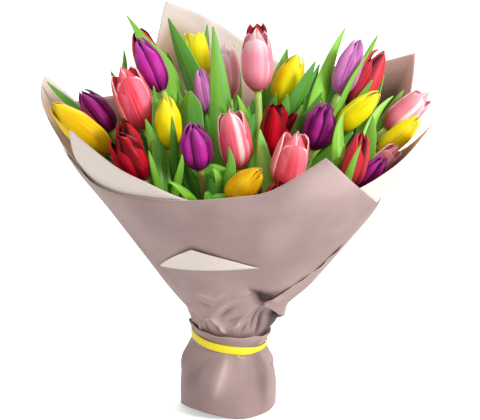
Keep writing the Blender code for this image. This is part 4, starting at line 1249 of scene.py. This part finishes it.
def creased(angle, z, creases):
    """How far creased paper stands out of its smooth shape: ridges and valleys."""
    out = np.zeros_like(angle)
    for a0, z0, a1, z1, depth, width in creases:
        x = np.radians(turned_from(angle, a0)) * CREASE_RADIUS
        way = np.array((np.radians(a1 - a0) * CREASE_RADIUS, z1 - z0))
        near = np.clip((x * way[0] + (z - z0) * way[1]) / (way @ way), 0, 1)
        off = np.array((x - near * way[0], z - z0 - near * way[1]))
        under = smooth_step(off[1] * np.sign(depth), 0.4, -0.4)
        away = np.hypot(*off) * (1 + 0.9 * under)
        out += depth * np.exp(-(away / width) ** 1.15) * (0.4 + 0.6 * np.sin(math.pi * near))
    return out * CREASE_DEPTH


def scattered_creases(chance, count):
    """Creases for the sides and back of the gathered paper, at places drawn by chance."""
    found = []
    for index in range(count):
        start = -40 + 260 * (index + chance.uniform(0.1, 0.9)) / count
        end = start + chance.uniform(-14, 14)
        found.append((start, chance.uniform(80, 88), end, chance.uniform(104, 140),
                      chance.uniform(1.4, 3.0) * chance.choice((-1, 1)), chance.uniform(2.4, 4)))
    return found


def tie_tilt(turn):
    """How far the tie rides up, by the turn round it from the right."""
    left, right, mean = TIE_TILT
    front = 1 - smooth_step(np.sin(turn), -0.1, 0.9)
    return (left * ((1 - np.cos(turn)) / 2) ** 2 + right * ((1 + np.cos(turn)) / 2) ** 2
            - mean) * front


def left_flare(angle, z):
    """How far the outer sheets flare out at the left rim."""
    middle, half, depth = LEFT_FLARE
    return depth * hump(turned_from(angle, middle), 0, half) * smooth_step(z, 205, 275)


def gathering(z):
    """How far the paper is gathered at each height: most just above the tie."""
    return smooth_step(z, 76, 88) * (1 - smooth_step(z, 135, 170))


def wrap_surface(angle, z, layer, creases, lift):
    """Points of a nested sheet of the wrap, gathered and creased above the tie."""
    start, growth, most = EVENED
    span = np.clip((z - start) / growth, 0, most)
    level = z - tie_tilt(np.radians(angle)) * (1 - smooth_step(z, 84, 125))
    sizes = [wrap_size(level + span * k, layer) for k in (-1, 0, 1)]
    half_x, half_y, shift = ((a + 2 * b + c) / 4 for a, b, c in zip(*sizes))
    middle, reach, depth = WAIST_BULGE
    folds = creased(angle, z, creases) + depth * hump(z, middle, reach)
    turn = np.radians(angle)
    loose = smooth_step(z, 110, 210)
    swell = loose * (1.2 * np.sin(2 * turn + 0.8) + 0.9 * np.sin(3 * turn - z * 0.012 + 2)
                     + 1.6 * hump(angle, -76, 13))
    middle, reach, depth = WAIST_TUCK
    depth += 3.5 * (layer < 2)
    tuck = depth * hump(z, middle, reach) * ((1 + np.cos(turn)) / 2) ** 2
    out = gathering(z) * folds + swell + lift - tuck
    return np.stack([shift + (half_x + out) * np.cos(turn), (half_y + out) * np.sin(turn), z],
                    axis=1)


def rim_height(angle, rim):
    """Height of a cut rim: smooth between the sheet's corners, and sharp at them."""
    angles, heights = (np.array(c, float) for c in zip(*rim))
    cuts = [0, *(i for i, a in enumerate(angles[1:-1], 1) if a in WRAP_CORNERS), len(angles) - 1]
    out = np.zeros_like(angle)
    for first, last in zip(cuts, cuts[1:]):
        inside = (angle >= angles[first]) & (angle <= angles[last])
        part = slice(first, last + 1)
        if last > first + 1:
            out = np.where(inside, eased(angle, angles[part], heights[part]), out)
        else:
            out = np.where(inside, np.interp(angle, angles[part], heights[part]), out)
    return out


def flat_pattern(angle, z):
    """Where a point of the wrap lies on the flat sheet, in metres."""
    slant = (z - CONE_FOOT) / CONE_RISE * MM
    turn = np.radians(angle) * CONE_TURN
    return np.stack([slant * np.sin(turn), slant * np.cos(turn)], axis=1)


def column_angles(rim, spacing):
    """Angles of a sheet's columns, with one at each cut corner."""
    ends = [rim[0][0], *(a for a, _ in rim[1:-1] if a in WRAP_CORNERS), rim[-1][0]]
    columns = [ends[0]]
    for low, high in zip(ends, ends[1:]):
        columns += list(np.linspace(low, high, max(2, round((high - low) / spacing)) + 1)[1:])
    return np.array(columns)


def spotted(spots, angle, z):
    """How much painted light (+) or painted shade (-) paper has at each point, by its spots."""
    total = np.zeros_like(z)
    for middle, height, wide, high, value in spots:
        total += value * hump(turned_from(angle, middle), 0, wide) * hump(z, height, high)
    return total


def grid_places(columns, rows):
    """The u and v of a grid's points, in the order in which Blender adds them."""
    u, v = np.meshgrid(np.linspace(0, 1, columns), np.linspace(0, 1, rows))
    return u.ravel(), v.ravel()


def wrap_sheet(name, rim, layer, materials, settings, creases, lift, hem=None, end=None):
    """One sheet of the wrap, from the waist, or its hem, up to its cut rim. lift is how far it
    stands off, and end moves its last edge round by some degrees at each height."""
    angles = column_angles(rim, SHEET_SPACING[layer])
    tops = rim_height(angles, rim)
    lows = np.full(len(angles), float(SHEET_BOTTOM)) if hem is None else np.interp(
        angles, *zip(*hem))

    def spots(u, v):
        column = np.rint(u * (len(angles) - 1)).astype(int)
        angle, z = angles[column], lows[column] + (tops - lows)[column] * v**ROW_EASE
        if end:
            near_end = smooth_step(angle, angles[-1] - END_REACH, angles[-1])
            angle = angle + np.interp(z, *zip(*end)) * near_end
        return angle, z

    def place(u, v):
        angle, z = spots(u, v)
        return wrap_surface(angle, z, layer, creases, lift(angle, z, v**ROW_EASE))

    rows = SHEET_ROWS[layer]
    made = skin(name, len(angles) - 1, rows, place, settings.thickness, materials,
                lambda u, v: flat_pattern(*spots(u, v)))
    u, v = grid_places(len(angles), rows + 1)
    angle, z = spots(u, v)
    # The fold attribute is painted light and painted shade: lighter on crease ridges and darker
    # in their hollows, the sheet's painted light and shade spots, and painted shade on its inner
    # side below its rim
    folds = creased(angle, z, creases) * gathering(z) / CREASE_DEPTH
    outer, inner = (folds + spotted(side, angle, z) for side in PAPER_PAINTED_LIGHT[name])
    below = tops[np.rint(u * (len(angles) - 1)).astype(int)] - z
    inner -= DEPTH_SHADE[layer] * smooth_step(below, 0, DEPTH_REACH)
    mark(made, fold=np.concatenate([outer, inner]))
    return made


def skirt_surface(angle, z, creases, out):
    """Points of the skirt sheet, whose foot is swung a little towards the left front."""
    heights, half_x, half_y = zip(*SKIRT_PROFILE)
    start, length = SKIRT_FOOT
    foot = np.clip((start - z) / length, 0, 1)
    turn = np.radians(angle)
    level = z - tie_tilt(turn) * smooth_step(z, 20, 66)
    swing = SKIRT_SWING * foot * (1 - np.cos(turn)) / 2
    loose = 1 - smooth_step(z, 40, 62)
    folds = loose * (0.6 * np.sin(5 * turn + 0.6) + 0.3 * np.sin(9 * turn + z * 0.03))
    folds += creased(angle, z, creases) * (1 - smooth_step(z, 60, 66)) * smooth_step(z, 0, 12)
    out = out + folds
    return np.stack([SKIRT_SHIFT * foot + (eased(level, heights, half_x) + out) * np.cos(turn),
                     (eased(level, heights, half_y) + out) * np.sin(turn + swing), z],
                    axis=1)


# Settings
class BloomSettings(bpy.types.PropertyGroup):
    petal_thickness: length_setting("Petal thickness", "Thickness of a petal", 0.5)
    petal_columns: count_setting("Petal columns", "Faces across a petal", 16, 4, 64)
    petal_rows: count_setting("Petal rows", "Faces along a petal", 22, 6, 96)
    yellow: colour_setting("Yellow", "Body of the paler yellow petals", (255, 242, 0))
    purple: colour_setting("Purple", "Body of the paler purple petals", (214, 48, 176))
    violet: colour_setting("Violet", "Body of the paler violet petals", (206, 104, 184))
    red: colour_setting("Red", "Body of the paler red petals", (240, 88, 98))
    pink: colour_setting("Pink", "Body of the paler pink petals", (255, 196, 216))


class LeafSettings(bpy.types.PropertyGroup):
    leaf_thickness: length_setting("Leaf thickness", "Thickness of a leaf", 0.8)
    leaf_columns: count_setting("Leaf columns", "Faces across a leaf", 12, 4, 64)
    leaf_rows: count_setting("Leaf rows", "Faces along a leaf", 36, 8, 160)
    inner_leaves: count_setting("Inner leaves", "Leaves among the stems, a stem", 3, 0, 6)
    fresh: colour_setting("Fresh green", "The brightest leaves", (164, 234, 70))
    dark: colour_setting("Dark green", "The darkest leaves", (46, 128, 24))
    blue: colour_setting("Blue green", "Waxy bloom on the leaves", (106, 190, 128))
    pale: colour_setting("Pale green", "Veins and the stems under the blooms", (190, 222, 110))


class PaperSettings(bpy.types.PropertyGroup):
    thickness: length_setting("Paper thickness", "Thickness of a sheet", 0.4)
    rib_pitch: length_setting("Rib pitch", "Distance between two ribs of the paper", 2.2)
    mauve: colour_setting("Mauve side", "The paper's coloured side", (157, 132, 129))
    # The liner's inner side is the same mauve paper, painted lighter and warmer: painted light,
    # as if coming through the paper
    lit_inside_mauve: colour_setting("Inside", "The coloured side inside the wrap", (216, 174, 161))
    pale: colour_setting("Pale side", "The paper's pale side", (232, 219, 209))


class RibbonSettings(bpy.types.PropertyGroup):
    thickness: length_setting("Ribbon thickness", "Thickness of the ribbon", 0.6)
    colour: colour_setting("Ribbon colour", "Body of the ribbon", (255, 238, 0))
    twine: colour_setting("Twine colour", "The band that binds the stems", (196, 172, 128))


class StageSettings(bpy.types.PropertyGroup):
    distance: FloatProperty(name="Distance", description="Camera to the bouquet's middle",
                            default=1.8, min=0.5, unit="LENGTH")
    elevation: FloatProperty(name="Elevation", description="How far the camera looks down",
                             default=math.radians(16), subtype="ANGLE", unit="ROTATION")
    lens: FloatProperty(name="Lens", description="Focal length in millimetres", default=135,
                        min=10)
    key_power: FloatProperty(name="Key light", description="Power of the main light", default=64,
                             min=0, unit="POWER")
    sky: FloatProperty(name="Sky", description="Light from all round", default=0.61, min=0)
    floor: colour_setting("Floor", "The pale floor", (252, 252, 252))
    glow: FloatProperty(name="Floor glow", description="Added to the floor where it is seen",
                        default=0.45, min=0)


def petal_finishes(settings):
    """The finish of each colour of tulip, made once."""
    return {name: petal_finish(f"{name}_petal", tuple(getattr(settings, name)),
                               *(linear(tone) for tone in look[:5]), *look[5:])
            for name, look in PETAL_LOOKS.items()}


def paper_finishes(settings, kind, turn):
    """The mauve and the pale side of a sheet whose ribs run at a given turn."""
    # The liner's inner mauve is its lighter, warmer copy: painted light
    body, tones = ((settings.lit_inside_mauve, LIT_INSIDE_TONES) if kind == "liner" else
                   (settings.mauve, MAUVE_TONES))
    pale_tones = BACK_PALE_TONES if kind == "back" else PALE_TONES
    pitch = settings.rib_pitch
    return (paper_finish(f"mauve_{kind}", tuple(body), tones, pitch, turn, 0.56),
            paper_finish(f"pale_{kind}", tuple(settings.pale), pale_tones, pitch, turn, 0.62))


# Operators
class BOUQUET_OT_blooms(bpy.types.Operator):
    """Build the tulip blooms, each from six petals round its heart"""
    bl_idname = "bouquet.blooms"
    bl_label = "Blooms"

    def execute(self, context):
        settings = context.scene.bouquet_blooms
        finishes = petal_finishes(settings)
        pistil = plain_finish("pistil", linear((196, 204, 110)), linear((150, 170, 70)), 900, 0.5)
        anther = plain_finish("anther", linear((52, 30, 44)), linear((120, 96, 40)), 700, 0.8)
        for tulip in TULIPS:
            number, colour = tulip[:2]
            name = f"tulip_{number:02d}"
            chance = np.random.default_rng(BLOOM_SEED + number)
            parts = [petal(f"{name}_petal", tulip, whorl, index, finishes[colour], settings,
                           chance)
                     for whorl in (0, 1) for index in range(3)]
            parts += heart(name, tulip, (pistil, anther))
            stand_for(join(parts, name), f"bloom_{number:02d}")
        return {"FINISHED"}


class BOUQUET_OT_leafy_stems(bpy.types.Operator):
    """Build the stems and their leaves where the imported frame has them"""
    bl_idname = "bouquet.leafy_stems"
    bl_label = "Leafy stems"

    def execute(self, context):
        settings = context.scene.bouquet_leaves
        green = leaf_finish(*(tuple(c) for c in (settings.fresh, settings.dark, settings.blue,
                                                 settings.pale)))
        bark = stem_finish(tuple(settings.pale), linear((96, 150, 52)))
        routes = stem_routes([t[:6] for t in TULIPS])
        nodes = {int(n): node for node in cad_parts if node.startswith("leafy_stem_")
                 for n in node.split("_")[2:]}
        grown = {node: [] for node in nodes.values()}
        points = {node: node_points(node) for node in grown}
        for number, route in routes.items():
            grown[nodes[number]].append(stem(f"stem_{number:02d}", route, bark,
                                             float(number == BROWN_STEM)))
        for index, (tip, lower, width, turn, *look) in enumerate(LEAVES):
            number = nearest_stem(Vector(lower), routes)
            node = nodes[number]
            found = packed_leaf(tip, lower, width, turn, routes[number], points[node])
            if found is None:
                print(f"leaf {index} has no place in {node}")
                continue
            chance = np.random.default_rng(LEAF_SEED + index)
            widths = (BLUNT_WIDTHS if index in BLUNT_LEAVES else
                      CURLED_WIDTHS if index in CURLED_LEAVES else LEAF_WIDTHS)
            bend, nod = (Vector(n) for n in LEAF_NUDGES.get(index, ((0, 0, 0), (0, 0, 0))))
            controls = (*found[0][:2], found[0][2] + bend, found[0][3] + nod)
            grown[node].append(leaf(f"leaf_{index:02d}", controls,
                                    found[1] * SLIM_LEAVES.get(index, 1), turn, look, green,
                                    settings, chance, widths))
        for number, root, middle, tip, width, turn, *look in INNER_LEAVES:
            controls = [Vector(p) for p in (root, root, middle, tip)]
            controls[1] = controls[0].lerp(controls[2], 0.6)
            grown[nodes[number]].append(leaf("inner_leaf", controls, width, turn, look, green,
                                             settings, np.random.default_rng(number)))
        for number, route in routes.items():
            chance = np.random.default_rng(INNER_LEAF_SEED + number)
            for _ in range(settings.inner_leaves):
                grown[nodes[number]].append(leaf("inner_leaf", *inner_leaf(route, chance), green,
                                                 settings, chance))
        for node, parts in grown.items():
            stand_for(join(parts, node.replace("leafy_stem", "stem_and_leaves")),
                      node)
        return {"FINISHED"}


class BOUQUET_OT_liner_sheet(bpy.types.Operator):
    """Build the reversed liner sheet, pale outside and mauve inside"""
    bl_idname = "bouquet.liner_sheet"
    bl_label = "Liner sheet"

    def execute(self, context):
        settings = context.scene.bouquet_paper
        mauve, pale = paper_finishes(settings, "liner", 84)

        def lift(angle, z, share):
            return 1.2 * smooth_step(share, 0.8, 1.0) * (1 - smooth_step(angle, -100, -60))

        made = wrap_sheet("liner", LINER_RIM, 0, [pale, mauve], settings, all_creases(), lift)
        stand_for(made, "liner_sheet")
        return {"FINISHED"}


class BOUQUET_OT_front_sheet(bpy.types.Operator):
    """Build the front sheet and its lower corner, turned up"""
    bl_idname = "bouquet.front_sheet"
    bl_label = "Front sheet"

    def execute(self, context):
        settings = context.scene.bouquet_paper
        mauve, pale = paper_finishes(settings, "front", 20)
        creases = all_creases()

        def lift(angle, z, share):
            near_rim = smooth_step(share, 0.72, 1.0)
            left = smooth_step(angle, -172, -150) * (1 - smooth_step(angle, -130, -90))
            right = smooth_step(angle, -96, -70) * (1 - smooth_step(angle, -58, -40))
            return near_rim * (0.4 + 1.6 * left + 2.4 * right) + left_flare(angle, z)

        sheet = wrap_sheet("front", FRONT_RIM, 1, [mauve, pale], settings, creases, lift)
        left, right, top = (np.array(p, float) for p in TURNED_CORNER)

        def spots(u, v):
            low = left[:, None] + (right - left)[:, None] * u
            return low + (top[:, None] - low) * v * 0.99

        def place(u, v):
            angle, z = spots(u, v)
            off = 0.3 + 1.5 * smooth_step(v, 0.0, 0.08) + 2.2 * smooth_step(v, 0.4, 1.0)
            return wrap_surface(angle, z, 1, creases, off)

        corner = skin("turned_corner", 40, 24, place, settings.thickness, [pale, mauve],
                      lambda u, v: flat_pattern(*spots(u, v)))
        stand_for(corner, "front_sheet")
        stand_for(sheet, "front_sheet")
        return {"FINISHED"}


class BOUQUET_OT_back_sheet(bpy.types.Operator):
    """Build the tall back sheet, whose free end hangs over the front"""
    bl_idname = "bouquet.back_sheet"
    bl_label = "Back sheet"

    def execute(self, context):
        settings = context.scene.bouquet_paper
        mauve, pale = paper_finishes(settings, "back", 55)

        def lift(angle, z, share):
            step = np.interp(z, *zip(*LAYER_STEP))
            right = smooth_step(share, 0.3, 0.9) * (1 - smooth_step(angle, 20, 50))
            behind = right * smooth_step(angle, -8, 6)
            left = smooth_step(angle, 168, 182)
            gaps = sum(hump(z, *gap) for gap in RIGHT_GAPS)
            gaps *= smooth_step(share, 0.82, 1.0) * (1 - smooth_step(angle, -16, -4))
            corner = (1 - smooth_step(angle, -20, 10)) * (1 - smooth_step(z, 112, 146))
            middle, half, depth = PEAK_FOLD
            fold = hump(angle, middle, half) * smooth_step(z, 300, 345)
            return (2.2 * gaps + 4.0 * corner - depth * fold + left_flare(angle, z)
                    - step * (0.75 * (right + behind) + 1.5 * left))

        made = wrap_sheet("back", BACK_RIM, 2, [mauve, pale], settings, all_creases(), lift,
                          BACK_HEM, BACK_END)
        stand_for(made, "back_sheet")
        return {"FINISHED"}


def all_creases():
    """Every crease of the gathered paper, the same for each sheet so that they nest."""
    chance = np.random.default_rng(CREASE_SEED)
    return [*CREASES, *scattered_creases(chance, SCATTERED_CREASES)]


class BOUQUET_OT_skirt_sheet(bpy.types.Operator):
    """Build the skirt sheet round the stems below the ribbon"""
    bl_idname = "bouquet.skirt_sheet"
    bl_label = "Skirt sheet"

    def execute(self, context):
        settings = context.scene.bouquet_paper
        mauve, pale = paper_finishes(settings, "skirt", 90)

        def spots(u, v):
            angle = u * 360 - 180
            low, top = (np.interp(angle, *zip(*table)) for table in (SKIRT_LOWS, SKIRT_TOPS))
            return angle, low + v * (top + 0.5 * np.sin(np.radians(angle) * 11) - low)

        def place(u, v):
            angle, z = spots(u, v)
            above = np.clip(z - 77 - tie_tilt(np.radians(angle)), 0, 12)
            return skirt_surface(angle, z, SKIRT_CREASES,
                                 above * np.interp(angle, *zip(*SKIRT_EDGE)))

        def flat(u, v):
            return np.stack([u * SKIRT_GIRTH, spots(u, v)[1] * MM], axis=1)

        made = skin("skirt", SKIRT_COLUMNS, SKIRT_ROWS, place, settings.thickness, [mauve, pale],
                    flat, closed=True)
        x, y, z = mesh_points(made.data).T / MM
        angle = np.degrees(np.arctan2(y, x))
        # Painted light and painted shade: lighter on crease ridges, darker in their hollows, and
        # the skirt's painted spots
        folds = creased(angle, z, SKIRT_CREASES) / CREASE_DEPTH * 0.6
        mark(made, fold=folds + spotted(SKIRT_PAINTED_LIGHT, angle, z))
        stand_for(made, "skirt_sheet")
        return {"FINISHED"}


class BOUQUET_OT_ribbon(bpy.types.Operator):
    """Build the flat ribbon, its knot at the back and its two ends"""
    bl_idname = "bouquet.ribbon"
    bl_label = "Ribbon"

    def execute(self, context):
        settings = context.scene.bouquet_ribbon
        satin = ribbon_finish(tuple(settings.colour), linear((226, 196, 0)),
                              linear((255, 248, 90)))

        def band(u, v):
            turn = u * math.tau
            pinch = hump(turn, math.pi / 2, 0.25)
            narrow = 3.6 * smooth_step(np.cos(turn), 0.35, 0.95)
            height = RIBBON_WIDTH - 3.2 * pinch - narrow
            z = RIBBON_HEIGHT + (v - 0.5) * height + tie_tilt(turn)
            reach = RIBBON_RADIUS + 0.35 * np.sin(5 * turn) + 0.25 * np.cos(math.pi * (v - 0.5))
            return np.stack([reach * np.cos(turn), reach * np.sin(turn), z], axis=1)

        parts = [skin("ribbon_band", 160, 8, band, settings.thickness, [satin], closed=True)]
        back = RIBBON_RADIUS + KNOT_BEHIND

        def lump(u, v):
            turn, rise = u * math.tau, (v - 0.5) * math.pi
            thick = 1 + 0.12 * np.sin(3 * turn + rise)
            return np.stack([5.4 * np.cos(rise) * np.cos(turn) * thick,
                             back + 2.8 * np.cos(rise) * np.sin(turn),
                             RIBBON_HEIGHT + 4.6 * np.sin(rise) + 0.5 * np.sin(2 * turn)],
                            axis=1)

        parts.append(skin("ribbon_knot", 28, 16, lump, 0, [satin], closed=True))
        for sign in (-1, 1):
            def tail(u, v):
                down = v + 0.06 * abs(u * 2 - 1) * v
                x = sign * (2.6 + 7.4 * down) + (u - 0.5) * (4.2 + 2.6 * v)
                y = back + 1.4 + 7.0 * down**1.5 + 0.5 * np.sin(down * 7 + sign)
                z = RIBBON_HEIGHT - 1 - 19.5 * down - sign * 0.9 * (u - 0.5) * 2
                return np.stack([x, y, z], axis=1)
            parts.append(skin("ribbon_end", 8, 24, tail, settings.thickness, [satin]))
        stand_for(join(parts, "ribbon_tied"), "ribbon")
        wisp = rod("ribbon_wisp", WISP_LINE, WISP_RADII, 6, [satin])
        stand_for(wisp, "ribbon")
        return {"FINISHED"}


class BOUQUET_OT_binding_band(bpy.types.Operator):
    """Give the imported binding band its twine"""
    bl_idname = "bouquet.binding_band"
    bl_label = "Binding band"

    def execute(self, context):
        settings = context.scene.bouquet_ribbon
        wound = twine_finish(tuple(settings.twine), linear((128, 104, 66)))
        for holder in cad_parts["binding_band"].material_slots:
            holder.material = wound
        return {"FINISHED"}


def look_at(thing, target):
    """Turn a lamp or the camera to a point."""
    thing.rotation_euler = (target - thing.location).to_track_quat("-Z", "Y").to_euler()


class BOUQUET_OT_stage(bpy.types.Operator):
    """Set up the pale floor, the soft lights and the camera"""
    bl_idname = "bouquet.stage"
    bl_label = "Stage"

    def execute(self, context):
        settings = context.scene.bouquet_stage
        deselect()
        bpy.ops.mesh.primitive_plane_add(size=FLOOR_SIZE)
        floor = context.object
        floor.name = "floor"
        pale = plain_finish("floor_pale", tuple(settings.floor), linear((248, 248, 248)), 3, 0.9,
                            {"Emission Strength": settings.glow})
        nodes = pale.node_tree
        seen = nodes.nodes.new("ShaderNodeLightPath").outputs["Is Camera Ray"]
        nodes.links.new(seen, nodes.nodes["Principled BSDF"].inputs["Emission Color"])
        floor.data.materials.append(pale)
        world = bpy.data.worlds.new("studio")
        context.scene.world = world
        world.use_nodes = True
        sky = world.node_tree.nodes["Background"].inputs
        sky["Color"].default_value = (1, 1, 1, 1)
        sky["Strength"].default_value = settings.sky
        target = Vector(TARGET)
        for name, at, size, share in LAMPS:
            bpy.ops.object.light_add(type="AREA", location=at)
            lamp = context.object
            lamp.name = lamp.data.name = name
            lamp.data.size = size
            lamp.data.energy = settings.key_power * share
            look_at(lamp, target)
        down = settings.elevation
        at = target + Vector((0, -math.cos(down), math.sin(down))) * settings.distance
        bpy.ops.object.camera_add(location=at)
        camera = context.object
        camera.name = camera.data.name = "camera"
        camera.data.lens = settings.lens
        camera.data.sensor_width = SENSOR_WIDTH
        look_at(camera, target)
        context.scene.camera = camera
        context.scene.view_settings.view_transform = "Standard"
        return {"FINISHED"}


class BOUQUET_PT_panel(bpy.types.Panel):
    """Lists the steps that finish the bouquet"""
    bl_idname = "BOUQUET_PT_panel"
    bl_label = "Tulip bouquet"
    bl_space_type = "VIEW_3D"
    bl_region_type = "UI"
    bl_category = "Bouquet"

    def draw(self, context):
        for step in STEPS:
            self.layout.operator(step.bl_idname)


STEPS = (BOUQUET_OT_blooms, BOUQUET_OT_leafy_stems, BOUQUET_OT_liner_sheet,
         BOUQUET_OT_front_sheet, BOUQUET_OT_back_sheet, BOUQUET_OT_skirt_sheet,
         BOUQUET_OT_ribbon, BOUQUET_OT_binding_band, BOUQUET_OT_stage)
GROUPS = {"bouquet_blooms": BloomSettings, "bouquet_leaves": LeafSettings,
          "bouquet_paper": PaperSettings, "bouquet_ribbon": RibbonSettings,
          "bouquet_stage": StageSettings}


def register():
    for made in (*GROUPS.values(), *STEPS, BOUQUET_PT_panel):
        bpy.utils.register_class(made)
    for name, group in GROUPS.items():
        setattr(bpy.types.Scene, name, PointerProperty(type=group))


def unregister():
    for name in GROUPS:
        delattr(bpy.types.Scene, name)
    for made in reversed((*GROUPS.values(), *STEPS, BOUQUET_PT_panel)):
        bpy.utils.unregister_class(made)


def main():
    """Register the add-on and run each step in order."""
    register()
    bpy.ops.bouquet.blooms()
    bpy.ops.bouquet.leafy_stems()
    bpy.ops.bouquet.liner_sheet()
    bpy.ops.bouquet.front_sheet()
    bpy.ops.bouquet.back_sheet()
    bpy.ops.bouquet.skirt_sheet()
    bpy.ops.bouquet.ribbon()
    bpy.ops.bouquet.binding_band()
    bpy.ops.bouquet.stage()


if __name__ == "__main__":
    main()
